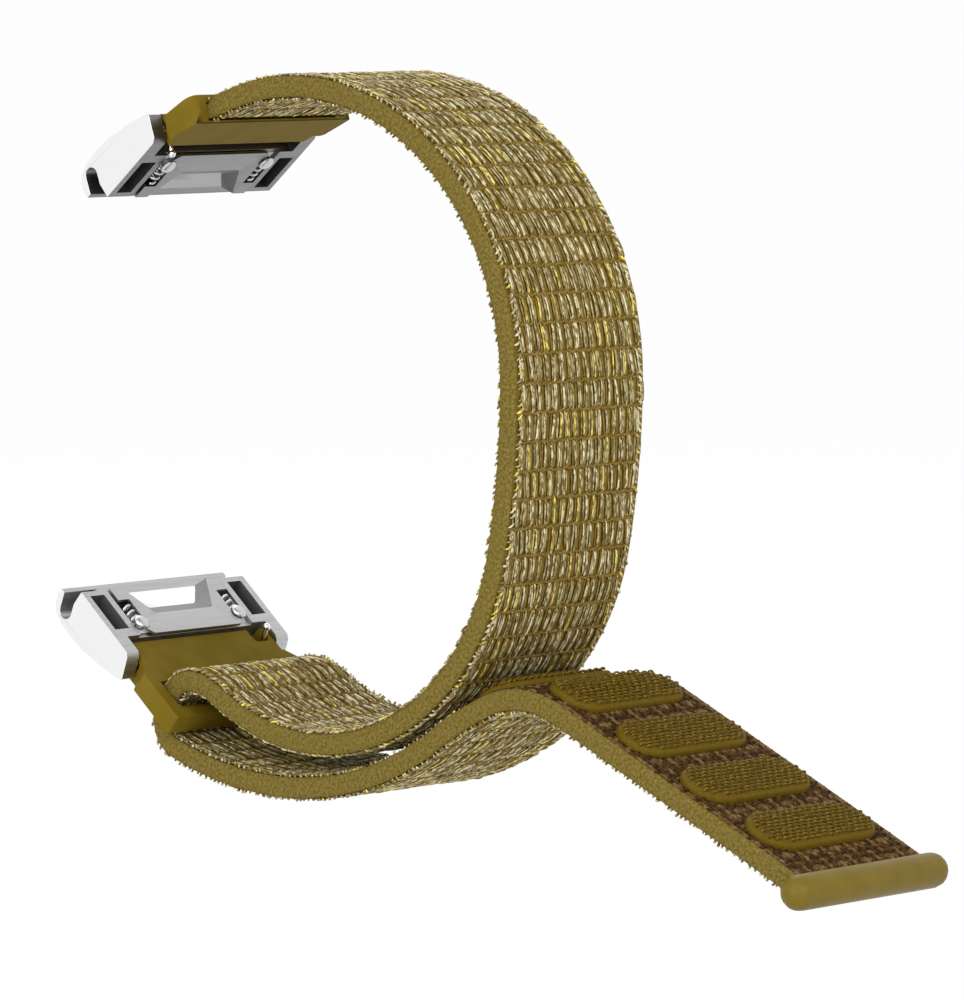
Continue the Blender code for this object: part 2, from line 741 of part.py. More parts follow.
def lug_slot_outline():
    """The round-bottomed slot for the watch's lug bar, leaning towards the hook."""
    centre = on_face(-LUG_SLOT_SETBACK, LUG_SLOT_DEPTH)
    radius = LUG_SLOT_WIDTH / 2
    lean = LUG_SLOT_TILT
    mouth = [polar(centre, radius, 180 * i / (2 * CORNER_STEPS) - lean)
             for i in range(2 * CORNER_STEPS + 1)]
    reach = LUG_SLOT_DEPTH - LIP_DEPTH + CUT_OVERRUN
    away = (reach * math.cos(math.radians(270 - lean)), reach * math.sin(math.radians(270 - lean)))
    left, right = mouth[-1], mouth[0]
    return mouth + [(left[0] + away[0], left[1] + away[1]),
                    (right[0] + away[0], right[1] + away[1])]


def make_connector_body(name, frame):
    half = CONNECTOR_WIDTH / 2
    body = add_part(name, prism(connector_outline(), half), frame, "polished_steel")
    cut(body, prism(lug_slot_outline(), half + CUT_OVERRUN), frame)
    floor = latch_floor()
    groove = TONGUE_DEPTH + SEAT_GAP
    pocket = LATCH_HALF_WIDTH + SEAT_GAP
    ear_inner = ear_inner_place()
    heel = FACE_LENGTH + HOOK_REACH + CUT_OVERRUN
    deep = CONNECTOR_DEPTH + CUT_OVERRUN
    cut(body, face_block((BAY_START, heel), (-CUT_OVERRUN, deep), (-ear_inner, ear_inner)), frame)
    cut(body, face_block((-CUT_OVERRUN, BAY_START + CUT_OVERRUN), (-CUT_OVERRUN, floor),
                         (-pocket, pocket)), frame)
    groove_end = WEB_THICKNESS + LATCH_TRAVEL + SEAT_GAP
    cut(body, face_block((-CUT_OVERRUN, groove_end), (-CUT_OVERRUN, groove),
                         (-pocket, pocket)), frame)
    cavity_end = TRAY_REAR + TRAY_REAR_SLOPE + LATCH_TRAVEL + SEAT_GAP
    cavity_side = LATCH_HALF_WIDTH - TRAY_FRONT_INSET + TRAY_SIDE_SLOPE
    cut(body, face_block((-CUT_OVERRUN, cavity_end), (-CUT_OVERRUN, groove),
                         (-cavity_side, cavity_side)), frame)
    spring_side = LATCH_HALF_WIDTH - NOTCH_WIDTH / 2
    trough = LATCH_SPRING_RADIUS + LATCH_SPRING_WIRE / 2 + SEAT_GAP
    spring_end = NOTCH_START + SEAT_GAP + LATCH_SPRING_LENGTH
    for side in (-1, 1):
        outer = side * (half - RECESS_EDGE)
        inner = side * (half - RECESS_EDGE - RECESS_WIDTH)
        cut(body, face_block((RECESS_START, RECESS_START + RECESS_LENGTH),
                             (-CUT_OVERRUN, RECESS_DEPTH), (outer, inner)), frame)
        cut(body, face_block((NOTCH_START, spring_end), (-CUT_OVERRUN, floor + trough),
                             (side * (spring_side - trough), side * (spring_side + trough))),
            frame)
        rivet_along, rivet_across = rivet_place(side)
        x, y = on_face(rivet_along, floor + RIVET_HOLE_DEPTH)
        cut(body, rod(RIVET_SHANK_RADIUS + PIN_GAP, (x, y, rivet_across),
                      (x, y - RIVET_HOLE_DEPTH - CUT_OVERRUN, rivet_across)), frame)
        cut(body, rod(PIN_TIP_RADIUS + PIN_GAP, (0, 0, side * (ear_inner - CUT_OVERRUN)),
                      (0, 0, side * (ear_inner + EAR_HOLE_DEPTH))), frame)


def latch_floor():
    """Depth under the wrist face of the floor that the latch slides over; the springs' too."""
    return LATCH_THICKNESS - LATCH_PROUD + SEAT_GAP


def rivet_place(side):
    return NOTCH_END - RIVET_FROM_NOTCH_END, side * (LATCH_HALF_WIDTH - NOTCH_WIDTH / 2)


def latch_outline():
    """Plan of the latch plate, with a notch in each side and its rear corners drawn in."""
    notch_inner = LATCH_HALF_WIDTH - NOTCH_WIDTH
    rear_side = LATCH_HALF_WIDTH - LATCH_REAR_INSET
    right = [(0, LATCH_HALF_WIDTH), (NOTCH_START, LATCH_HALF_WIDTH),
             (NOTCH_START, notch_inner), (NOTCH_END, notch_inner), (NOTCH_END, rear_side),
             (LATCH_REAR - LATCH_CORNER, rear_side), (LATCH_REAR, rear_side - LATCH_CORNER)]
    return right + [(along, -across) for along, across in reversed(right)]


def tray_outline(front, rear_grow, side_grow):
    """Plan of the thumb tray at one depth; its sides draw in towards its rear."""
    splay = (TRAY_REAR_INSET - TRAY_FRONT_INSET) / TRAY_REAR
    front_side = LATCH_HALF_WIDTH - TRAY_FRONT_INSET - front * splay + side_grow
    rear_side = LATCH_HALF_WIDTH - TRAY_REAR_INSET + side_grow
    rear = TRAY_REAR + rear_grow
    corners = [(front, front_side), (rear, rear_side), (rear, -rear_side), (front, -front_side)]
    return [(on_face(along, 0)[0], across) for along, across in rounded(corners, TRAY_CORNER)]


def make_latch_plate(name, frame):
    """A plate with a thumb tray pressed into it and a tongue that bars the lug slot."""
    top = -LATCH_PROUD
    base = top + LATCH_THICKNESS
    tongue_top = TONGUE_DEPTH - TONGUE_THICKNESS
    latch = add_part(name, flat_prism(latch_outline(), top, base), frame, "satin_steel")
    bend = [on_face(0, top), on_face(WEB_THICKNESS, top), on_face(WEB_THICKNESS, TONGUE_DEPTH),
            on_face(-TONGUE_REACH, TONGUE_DEPTH), on_face(-TONGUE_REACH, tongue_top),
            on_face(0, tongue_top)]
    join(latch, prism(bend, LATCH_HALF_WIDTH), frame)
    shell_top = tray_outline(0, TRAY_REAR_SLOPE + TRAY_WALL, TRAY_SIDE_SLOPE + TRAY_WALL)
    shell_base = tray_outline(0, TRAY_WALL, TRAY_WALL)
    join(latch, tapered(shell_top, shell_base, (top + base) / 2 - AXIS_DEPTH,
                        TRAY_DEPTH + TRAY_WALL - AXIS_DEPTH), frame)
    tray_top = tray_outline(-CUT_OVERRUN, TRAY_REAR_SLOPE, TRAY_SIDE_SLOPE)
    tray_base = tray_outline(-CUT_OVERRUN, 0, 0)
    cut(latch, tapered(tray_top, tray_base, top - AXIS_DEPTH, TRAY_DEPTH - AXIS_DEPTH), frame)


def make_latch_springs(side_name, frame):
    points = coil_points(LATCH_SPRING_RADIUS, LATCH_SPRING_TURNS, LATCH_SPRING_LENGTH,
                         LATCH_SPRING_WIRE)
    report_coil_gap(side_name + "_latch_spring", points, LATCH_SPRING_WIRE)
    across = LATCH_HALF_WIDTH - NOTCH_WIDTH / 2
    x, y = on_face(NOTCH_START + SEAT_GAP, latch_floor())
    for name, side in (("near", -1), ("far", 1)):
        local = plane_matrix((x, y, side * across), (0, 1, 0), (0, 0, 1))
        placed = [tuple(local @ point) for point in points]
        add_part("%s_latch_spring_%s" % (side_name, name),
                 wire(placed, LATCH_SPRING_WIRE / 2), frame, "polished_steel")


def make_latch_rivets(side_name, frame):
    """Two domed rivets that guide the latch and take its springs' thrust."""
    seat = LATCH_PROUD + PIN_GAP
    end = -(latch_floor() + RIVET_HOLE_DEPTH - SEAT_GAP)
    quarter = ROUND_STEPS // 4
    turns = [math.pi / 2 * step / quarter for step in range(quarter + 1)]
    profile = [(RIVET_HEAD_RADIUS * math.sin(turn), seat + RIVET_HEAD_HEIGHT * math.cos(turn))
               for turn in turns]
    profile += [(RIVET_SHANK_RADIUS, seat), (RIVET_SHANK_RADIUS, end), (0, end)]
    for name, side in (("near", -1), ("far", 1)):
        along, across = rivet_place(side)
        x, y = on_face(along, 0)
        rivet = turned_part("%s_latch_rivet_%s" % (side_name, name), profile, frame,
                            "polished_steel")
        rivet.matrix_local = plane_matrix((x, y, across), (1, 0, 0), (0, 0, 1))


# Spring bar pieces, on the frame's z axis
def make_bar_tube(name, frame):
    half = NECK_HALF_WIDTH - BAR_TUBE_END_GAP
    profile = [(BAR_TUBE_BORE, half), (BAR_TUBE_RADIUS, half), (BAR_TUBE_RADIUS, -half),
               (BAR_TUBE_BORE, -half), (BAR_TUBE_BORE, half)]
    tube = turned_part(name, profile, frame, "satin_steel")
    slot_start = LEVER_FROM_CENTRE - LEVER_TRAVEL - LEVER_STEM_RADIUS - PIN_GAP
    slot_half = LEVER_STEM_RADIUS + PIN_GAP
    slot = block((-slot_half, slot_half), (-LEVER_LENGTH, 0), (slot_start, half + CUT_OVERRUN))
    slot.transform(Matrix.Rotation(math.radians(-LEVER_LEAN), 4, "Z"))
    cut(tube, slot, frame)


def pin_profile(shank_end):
    """A stepped pin: its tip enters the ear's hole, its shank slides in the tube."""
    tip = ear_inner_place() + PIN_TIP_ENTRY
    step = NECK_HALF_WIDTH - BAR_TUBE_END_GAP
    chamfer = PIN_TIP_RADIUS / 2
    return [(0, tip), (PIN_TIP_RADIUS - chamfer / 2, tip), (PIN_TIP_RADIUS, tip - chamfer),
            (PIN_TIP_RADIUS, step), (PIN_SHANK_RADIUS, step), (PIN_SHANK_RADIUS, shank_end),
            (0, shank_end)]


def make_fixed_pin(name, frame):
    shank_end = NECK_HALF_WIDTH - FIXED_PIN_SHANK
    profile = [(radius, -place) for radius, place in reversed(pin_profile(shank_end))]
    turned_part(name, profile, frame, "polished_steel")


def make_release_pin(name, frame):
    """The sliding pin with the little lever that a fingernail pulls."""
    shank_end = NECK_HALF_WIDTH - RELEASE_PIN_SHANK
    pin = turned_part(name, pin_profile(shank_end), frame, "polished_steel")
    lean = math.radians(LEVER_LEAN)
    tip = Vector((-LEVER_LENGTH * math.sin(lean), -LEVER_LENGTH * math.cos(lean),
                  LEVER_FROM_CENTRE))
    join(pin, rod(LEVER_STEM_RADIUS, (0, 0, LEVER_FROM_CENTRE), tip), frame)
    join(pin, ball(LEVER_KNOB_RADIUS, tip), frame)


def make_pin_spring(name, frame):
    start = -(NECK_HALF_WIDTH - FIXED_PIN_SHANK) + SEAT_GAP
    end = NECK_HALF_WIDTH - RELEASE_PIN_SHANK - SEAT_GAP
    points = coil_points(PIN_SPRING_RADIUS, PIN_SPRING_TURNS, end - start, PIN_SPRING_WIRE)
    report_coil_gap(name, points, PIN_SPRING_WIRE)
    placed = [tuple(point + Vector((0, 0, start))) for point in points]
    add_part(name, wire(placed, PIN_SPRING_WIRE / 2), frame, "satin_steel")


# Adapters, also in the frame of their spring bar axis
def neck_corner(height):
    """A rounded corner of the neck's front, on its outer or its inner side, as outline points."""
    centre = (-NECK_FRONT + NECK_CORNER, height - math.copysign(NECK_CORNER, height))
    start, end = (90, 180) if height > 0 else (180, 270)
    return [polar(centre, NECK_CORNER, start + (end - start) * i / CORNER_STEPS)
            for i in range(CORNER_STEPS + 1)]


def height_at(x, first, second):
    """Height at x of the line through two outline points."""
    return first[1] + (second[1] - first[1]) * (x - first[0]) / (second[0] - first[0])


def flange_plan(start, end, chamfer, corner):
    """Plan of an adapter's flange: chamfered beside the ears, round at its far corners."""
    square = [(start + chamfer, -FLANGE_HALF_WIDTH), (end, -FLANGE_HALF_WIDTH),
              (end, FLANGE_HALF_WIDTH), (start + chamfer, FLANGE_HALF_WIDTH)]
    steps = CORNER_STEPS + 1
    round_end = rounded(square, corner)[steps:3 * steps]
    side = FLANGE_HALF_WIDTH - chamfer
    return [(start, -side), square[0]] + round_end + [square[3], (start, side)]


def make_adapter(name, frame, neck, flange, plan):
    """An adapter from the side views of its neck and of its flange, which is wider."""
    adapter = add_part(name, prism(flange, FLANGE_HALF_WIDTH), frame, "moulding")
    lying = plane_matrix((0, 0, 0), (1, 0, 0), (0, 0, 1))
    combine(adapter, prism(plan, CONNECTOR_DEPTH, lying), frame, "INTERSECT")
    join(adapter, prism(neck, NECK_HALF_WIDTH), frame)
    return adapter


def cut_bar_seat(obj, frame):
    """The bore for the spring bar and the half-round notch for its lever."""
    reach = NECK_HALF_WIDTH + CUT_OVERRUN
    bore = BAR_TUBE_RADIUS + PIN_GAP
    cut(obj, rod(bore, (0, 0, -reach), (0, 0, reach)), frame)
    outer = LEVER_FROM_CENTRE + LEVER_KNOB_RADIUS + PIN_GAP
    inner = outer - LEVER_NOTCH_WIDTH
    corners = [(-LEVER_NOTCH_FRONT, inner), (LEVER_NOTCH_REAR, inner),
               (LEVER_NOTCH_REAR, outer), (-LEVER_NOTCH_FRONT, outer)]
    depth = NECK_OUTER_HEIGHT + CUT_OVERRUN
    lying = plane_matrix((0, -depth / 2, 0), (1, 0, 0), (0, 0, 1))
    cut(obj, prism(rounded(corners, LEVER_NOTCH_CORNER), depth / 2, lying), frame)


def make_top_adapter(name, frame):
    inner = -TOP_NECK_INNER_HEIGHT
    step = (TOP_INNER_STEP_END, inner - TOP_INNER_STEP)
    lip = [(TOP_INNER_LIP, TOP_INNER_LEVEL), (TOP_OUTER_LIP, -TOP_SEAT_OFFSET),
           (TOP_OUTER_LIP, TOP_OUTER_LEVEL), (FLANGE_OUTER_START, TOP_OUTER_LEVEL)]
    start = (FLANGE_INNER_START, height_at(FLANGE_INNER_START, step, lip[0]))
    neck = neck_corner(inner) + [(TOP_INNER_STEP_START, inner), step, start] + lip
    neck += [(TOP_OUTER_RAMP, NECK_OUTER_HEIGHT)] + neck_corner(NECK_OUTER_HEIGHT)
    plan = flange_plan(FLANGE_INNER_START, TOP_OUTER_LIP, TOP_FLANGE_CHAMFER,
                       TOP_FLANGE_CORNER)
    adapter = make_adapter(name, frame, neck, [start] + lip, plan)
    cut_bar_seat(adapter, frame)
    mouth = seat_block(-TOP_SEAT_DEPTH - SEAT_GAP, TOP_SEAT_DEPTH,
                       TOP_SEAT_THICKNESS / 2 + PIN_GAP,
                       BAND_WIDTH / 2 - TOP_SEAT_INSET + PIN_GAP)
    cut(adapter, mouth, frame)


def make_bottom_adapter(name, frame):
    bar_radius = (END_BAR_TOP + END_BAR_BASE) / 2
    corner = neck_corner(-BOTTOM_NECK_INNER_HEIGHT)
    end = [(END_BAR_END, -END_BAR_TOP), (END_BAR_END, END_BAR_BASE)]
    start = (FLANGE_INNER_START, height_at(FLANGE_INNER_START, corner[-1], end[0]))
    neck = corner + [start] + end + [(BOTTOM_TAPER_END, END_BAR_BASE),
                                     (BOTTOM_TAPER_START, NECK_OUTER_HEIGHT)]
    neck += neck_corner(NECK_OUTER_HEIGHT)
    plan = flange_plan(FLANGE_INNER_START, END_BAR_END, BOTTOM_FLANGE_CHAMFER,
                       BOTTOM_FLANGE_CORNER)
    adapter = make_adapter(name, frame, neck,
                           [start] + end + [(FLANGE_OUTER_START, END_BAR_BASE)], plan)
    cut_bar_seat(adapter, frame)
    side = BAND_WIDTH / 2 + SEAT_GAP
    left = [(BAND_SLOT_START, CONNECTOR_DEPTH), (BAND_SLOT_START, -CONNECTOR_DEPTH)]
    level = (END_BAR_BASE - END_BAR_TOP) / 2
    middle = BAND_SLOT_END + bar_radius
    nose = [polar((middle, level), bar_radius, 270 - 180 * i / (2 * CORNER_STEPS))
            for i in range(2 * CORNER_STEPS + 1)]
    right = [(middle, -CONNECTOR_DEPTH)] + nose + [(middle, CONNECTOR_DEPTH)]
    cut(adapter, prism(left + right, side), frame)


def make_connector(side_name, frame):
    make_connector_body(side_name + "_connector_body", frame)
    make_latch_plate(side_name + "_latch_plate", frame)
    make_latch_springs(side_name, frame)
    make_latch_rivets(side_name, frame)


def make_spring_bar(side_name, frame):
    make_bar_tube(side_name + "_spring_bar_tube", frame)
    make_fixed_pin(side_name + "_fixed_pin", frame)
    make_release_pin(side_name + "_release_pin", frame)
    make_pin_spring(side_name + "_pin_spring", frame)


CARRIED_FRAMES = {"crest_flex": "tail_flex", "middle_flex": "crest_flex",
                  "top_adapter": "loop_flex", "top_connector": "loop_flex",
                  "bottom_connector": "end_bar"}
SPRING_BAR_PIECES = ("spring_bar_tube", "fixed_pin", "pin_spring")


def place_frames():
    """Empties on the joints' axes, each hung on the axis of the joint before it."""
    frames = {
        "loop_flex": flex_frame("loop_flex_axis", LOOP_FLEX),
        "tail_flex": flex_frame("tail_flex_axis", TAIL_FLEX),
        "crest_flex": flex_frame("crest_flex_axis", CREST_FLEX),
        "middle_flex": flex_frame("middle_flex_axis", MIDDLE_FLEX),
    }
    heading = LOOP_START_HEADING + TOP_ADAPTER_TILT
    start = frame_matrix(LOOP_START_X, LOOP_START_Z, heading, False)
    axis = start @ Vector((-TOP_SEAT_ALONG, TOP_SEAT_OFFSET, 0))
    frames["top_adapter"] = make_frame("top_adapter_axis",
                                       frame_matrix(axis.x, axis.z, heading, False))
    frames["top_connector"] = make_frame(
        "top_connector_axis", frame_matrix(axis.x, axis.z, heading + TOP_CONNECTOR_TILT, False))
    heading = SLOT_ENTRY[2] + 90
    start = frame_matrix(SLOT_ENTRY[0], SLOT_ENTRY[1], heading, True)
    axis = start @ Vector((-BAND_SLOT_CENTRE, BAND_SLOT_LEVEL, 0))
    frames["bottom_connector"] = make_frame("bottom_connector_axis",
                                            frame_matrix(axis.x, axis.z, heading, True))
    bar_radius = (END_BAR_TOP + END_BAR_BASE) / 2
    bar = frames["bottom_connector"].matrix_world @ Vector(
        (BAND_SLOT_END + bar_radius, (END_BAR_BASE - END_BAR_TOP) / 2, 0))
    frames["end_bar"] = make_frame("end_bar_axis", frame_matrix(bar.x, bar.z, heading, True))
    for moved, axis_name in CARRIED_FRAMES.items():
        carry(frames[moved], frames[axis_name])
    return frames


def build():
    frames = place_frames()
    make_bands(frames)
    make_hook_pads(frames)
    make_end_cap(frames)
    make_top_adapter("top_adapter", frames["top_adapter"])
    make_spring_bar("top", frames["top_adapter"])
    make_connector("top", frames["top_connector"])
    make_bottom_adapter("bottom_adapter", frames["bottom_connector"])
    make_spring_bar("bottom", frames["bottom_connector"])
    make_connector("bottom", frames["bottom_connector"])
    for side_name, axis_name in (("top", "loop_flex"), ("bottom", "end_bar")):
        for piece in ("adapter",) + SPRING_BAR_PIECES:
            carry(bpy.data.objects["%s_%s" % (side_name, piece)], frames[axis_name])
    return frames


FRAMES = build()
for frame_name, frame_empty in FRAMES.items():
    print(frame_name, [round(value, 6) for value in frame_empty.matrix_world.translation])
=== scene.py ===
"""Looks of the woven watch strap: pile band, hook pads, moulded adapters and steel connectors."""
import json
import math
import bpy
import numpy as np
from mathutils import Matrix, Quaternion, Vector


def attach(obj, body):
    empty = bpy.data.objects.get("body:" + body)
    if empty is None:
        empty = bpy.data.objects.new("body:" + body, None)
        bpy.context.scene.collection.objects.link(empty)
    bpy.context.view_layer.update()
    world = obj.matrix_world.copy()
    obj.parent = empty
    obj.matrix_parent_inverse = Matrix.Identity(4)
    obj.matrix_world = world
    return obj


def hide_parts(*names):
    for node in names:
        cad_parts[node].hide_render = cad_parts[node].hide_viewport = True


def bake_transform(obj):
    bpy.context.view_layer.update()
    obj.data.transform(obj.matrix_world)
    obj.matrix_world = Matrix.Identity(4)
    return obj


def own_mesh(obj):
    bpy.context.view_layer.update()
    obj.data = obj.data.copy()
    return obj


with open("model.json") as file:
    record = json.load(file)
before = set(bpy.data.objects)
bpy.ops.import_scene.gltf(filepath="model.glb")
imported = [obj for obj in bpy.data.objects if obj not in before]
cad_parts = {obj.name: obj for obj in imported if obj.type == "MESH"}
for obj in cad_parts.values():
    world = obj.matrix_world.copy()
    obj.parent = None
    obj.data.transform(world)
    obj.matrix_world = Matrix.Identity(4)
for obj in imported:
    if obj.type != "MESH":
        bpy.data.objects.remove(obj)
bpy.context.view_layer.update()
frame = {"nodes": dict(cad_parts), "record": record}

NODES = frame["nodes"]
RNG = np.random.default_rng(11)

# Lengths are in metres and angles in degrees, unless a comment says otherwise. A spread is the
# standard deviation of a random draw.
MM = 0.001
X_AXIS, Y_AXIS, Z_AXIS = np.eye(3)

# The photograph's camera
LOOK_AT = Vector((0.017494, 0.0, -0.008942))
LOOK_DIRECTION = Vector((-0.666529, 0.740255, -0.088097))
LOOK_DISTANCE = 0.704372
LOOK_ROLL = 0.003621
LENS = 233.586
SENSOR = 36.0
CLIP_START, CLIP_END = 0.01, 60

# Studio: the floor, the world, and the lamps as name, direction, distance, size and watts
FLOOR_LEVEL = -0.092
FLOOR_SIZE = 40.0
FLOOR_COLOUR = "f4f4f4"
FLOOR_ROUGHNESS = 0.9
FLOOR_WHITE_SHARE = 0.96
WORLD_LEVEL = 0.70
LAMPS_AIM = Vector((0.0175, 0.0, -0.005))
LAMPS = [("key", (0.20, -1.0, 0.35), 0.9, 0.7, 4.2),
         ("fill", (1.0, -0.25, 0.5), 0.9, 0.6, 2.8),
         ("back", (-0.9, 0.5, 0.7), 0.9, 0.6, 2.8)]

# Band, along the same path as the frame's band. An arc is its radius and turn, a run its length and turn.
# A curvature below STRAIGHT_BELOW counts as none.
BAND_WIDTH = 0.0212
BAND_THICKNESS = 0.0025
LOOP_START = (-0.0145, 0.0325, 26.1)
SEAT_DEPTH = 0.0034
ARCS = [(0.0312, -116.1), (0.0945, -11.2), (0.0275, -111.0), (0.0074, 32.2), (0.0031, 49.3)]
SLOT_RUN = 0.0020
ARCS_OUT = [(0.0032, 110.3), (0.045199, 31.4), (0.038665, 23.7), (0.0539, -9.1), (0.0121, -25.6),
            (0.0121, -24.3)]
TAIL_RUNS = [(0.028668, -0.4), (0.0078, -0.8)]
LOOP_FLEX_RUN, TAIL_FLEX_RUN, CREST_FLEX_RUN = 2, 10, 12
STRAIGHT_BELOW = 1e-9

# The band's mouth in the top adapter, where it is pressed thin
MOUTH_END = 0.0006
MOUTH_WIDTH_SHARE = 0.98
MOUTH_THICKNESS_SHARE = 0.66
MOUTH_SWELL = 0.0016

# Where the dressing is cut into pieces, as distances along the band, and a length each side of each flex
UPPER_END = 0.0810
LOWER_END = 0.1800
ROOT_END = 0.1990
MIDDLE_END = 0.2135
LOOP_BEND = 0.015
TAIL_BEND = 0.005
CREST_BEND = 0.0017
MIDDLE_BEND = 0.0014

# Ground cloth and its rounded selvage, whose bead is in shares of the band's half width and half thickness
GROUND_LEVEL = 0.00106
GROUND_COLUMNS = 4
BEAD_SHARES = ((0.945, 0.86), (0.955, 0.90), (0.968, 0.91), (0.982, 0.84), (0.993, 0.66),
               (0.999, 0.36), (1.0, 0.0))
CORE_STEP = 0.0006
CORE_SHARP_ANGLE = 70

# Tubes, and their cells in the maps. The shift is in millimetres, the rest in shares of a cell.
TUBE_SIDES = 5
CLOTH_SHIFT = 90
CELL_MARGIN, CELL_SPAN = 0.1, 0.8
CAP_CENTRE, CAP_RADIUS, CAP_SPAN = 0.5, 0.3, 0.2

# Pile rows. A strand's profile is its places along itself, rise, fan and taper. The lanes and ROW_DRIFT are
# in shares of a column's pitch.
PILE_START = 0.0005
ROW_PITCH = 0.00307
COLUMN_PITCH = 0.00125
PILE_HALF_WIDTH = 0.01
PILE_LENGTH = 0.00292
PILE_FOOT = 0.00110
STRAND_RADIUS = 0.00013
STRAND_FLATNESS = 0.62
STRAND_LANES = (0.0, 0.20, -0.22, 0.39, 0.56)
STRAND_TOPS = (0.00136, 0.00130, 0.00126, 0.00118, 0.00115)
STRAND_SLANT = 0.07
STRAND_PROFILE = np.array([(0.0, 0.1, 0.32, 0.6, 0.88, 1.0), (0.0, 0.75, 1.0, 1.0, 0.85, 0.0),
                           (0.6, 0.88, 1.0, 1.0, 0.88, 0.6), (0.7, 0.92, 1.05, 1.08, 0.95, 0.6)])
ROW_DRIFT = 0.16
COLUMN_SPREAD = 0.06 * MM
COLUMN_SLANT_SPREAD = 0.05
LANE_SPREAD = 0.05 * MM
STRAND_SLANT_SPREAD = 0.03
STRAND_ALONG_SPREAD = 0.09 * MM
STRAND_LENGTH_SPREAD = 0.06
STRAND_TOP_SPREAD = 0.03 * MM
STRAND_RADIUS_SPREAD = 0.08
RIB_RADIUS = 0.00019
RIB_LEVEL = 0.00112
RIB_SCALLOP = 0.00010
RIB_STEPS = 4
RIB_ALONG_SPREAD = 0.03 * MM
RIB_LEVEL_SPREAD = 0.02 * MM

# Border stitches on the outer face, 1, and the longer ones that fringe the inner face, -1
STITCH_PITCHES = {1: 0.00080, -1: 0.00062}
STITCH_TOS = {1: 0.01005, -1: 0.01036}
STITCH_FROM = 0.00940
STITCH_TOPS = {1: 0.00136, -1: 0.00140}
STITCH_ENDS = {1: 0.00112, -1: 0.00126}
STITCH_FOOT = 0.00100
STITCH_RADIUS = 0.00014
STITCH_PLACES = np.array([0.0, 0.2, 0.5, 0.8, 1.0])
STITCH_RISES = [0.1, 0.85, 1.0, 0.9]
STITCH_TAPER = np.array([0.8, 1.0, 1.05, 1.0, 0.7])
STITCH_ALONG_SPREAD = 0.12 * MM
STITCH_REACH_SPREAD = 0.14
STITCH_SLANT_MM, STITCH_SLANT_SPREAD_MM = 0.62, 0.16
STITCH_TOP_SPREAD = 0.05 * MM
STITCH_RADIUS_SPREAD = 0.12

# Hook side of the tail
PILE_FACE_END = 0.1962
WEAVE_START = 0.1950
WARP_PITCH = 0.00065
WEFT_PITCH = 0.00098
YARN_RADIUS = 0.00027
WARP_RADIUS_SHARE = 0.85
WEAVE_LEVEL = 0.00098
WEAVE_HALF_WIDTH = 0.01016
WARP_SWING, WEFT_SWING = 0.14 * MM, 0.12 * MM
WARP_SPREAD, WEFT_SPREAD = 0.03 * MM, 0.04 * MM
WARP_STEPS, WEFT_STEPS = 4, 2
WARP_FLECK_EVERY = 3
WEFT_FLECK_SHARE = 0.3

# Hook pads. The base's profile is its insets and levels, a hook's its places, heights and taper.
PAD_BODIES = ["tail_root", "tail_middle", "tail_middle", "tail_end", "tail_end"]
PAD_COUNT = len(PAD_BODIES)
PAD_FIRST_FROM_CREST = -0.0053
PAD_PITCH = 0.0097
PADS_BEFORE_MIDDLE_FLEX = 3
PAD_LENGTH = 0.0067
PAD_WIDTH = 0.0182
PAD_FOOT = 0.00105
PAD_TOP = 0.00185
PAD_ROUND = 0.00035
PAD_PROFILE = [(0.0, PAD_FOOT), (0.0, PAD_TOP - PAD_ROUND), (0.09 * MM, PAD_TOP - PAD_ROUND * 0.4),
               (0.3 * MM, PAD_TOP), (1.2 * MM, PAD_TOP + 0.04 * MM)]
PAD_TURN_STEPS = 10
PAD_SHARP_ANGLE = 50
HOOK_ROW_PITCH = 0.000585
HOOK_COLUMN_PITCH = 0.00106
HOOK_STAGGER = 0.00054
HOOK_SPAN = 0.00058
HOOK_HEIGHT = 0.00032
HOOK_RADIUS = 0.00012
HOOK_MARGIN = 0.00045
HOOK_PROFILE = np.array([(-0.5, -0.5, -0.42, -0.12, 0.25, 0.48, 0.5),
                         (-0.25, 0.35, 0.78, 1.0, 0.92, 0.6, 0.3),
                         (1.15, 1.05, 1.0, 1.0, 0.95, 0.85, 0.6)])
HOOK_LEAN = 0.12 * MM
HOOK_SIZE_SPREAD = 0.07
HOOK_ALONG_SPREAD = 0.04 * MM

# Connectors: each one's spring bar axis, and the directions along its wrist face and out of it. The bar lies
# PIVOT_ALONG along that face and PIVOT_DEPTH behind it.
TOP_ALONG, TOP_OUT = (0.76154, 0.0, 0.64812), (-0.64812, 0.0, 0.76154)
BOTTOM_ALONG, BOTTOM_OUT = (0.75813, 0.0, -0.65210), (-0.65210, 0.0, -0.75813)
TOP_AXIS = (-0.021033, 0.0, 0.030675)
BOTTOM_AXIS = (-0.02533, 0.0, -0.02931)
TOP_FRAME = (TOP_AXIS, TOP_ALONG, TOP_OUT)
BOTTOM_FRAME = (BOTTOM_AXIS, BOTTOM_ALONG, BOTTOM_OUT)
PIVOT_ALONG = 0.00959
PIVOT_DEPTH = 0.0020

# Zones of a connector in millimetres: off its middle, along its wrist face and into it
# Painted shade: the recess zone is painted dark and loses its metal, standing in for the shade in the deep
# recesses
RECESS_ZONE = {"off": (9.86, 12.14), "along": (0.66, 6.04), "into": (0.10, 2.4)}
# Painted light: the notch zone is lightened and loses its metal, against the shade in the spring notches
NOTCH_ZONE = {"off": (6.9, 8.8), "along": (1.7, 6.6), "into": (0.12, 2.4)}
# Painted shade darkens the wall zone and painted light brightens the floor zone
TRAY_WALL_ZONE = {"into": (-0.17, 0.82), "off": (-1.0, 6.9), "along": (-1.0, 5.5)}
TRAY_FLOOR_ZONE = {"into": (0.82, 1.0), "off": (-1.0, 6.9)}
END_PLATE_START_MM = 12.2
END_PLATE_FACING = 0.8
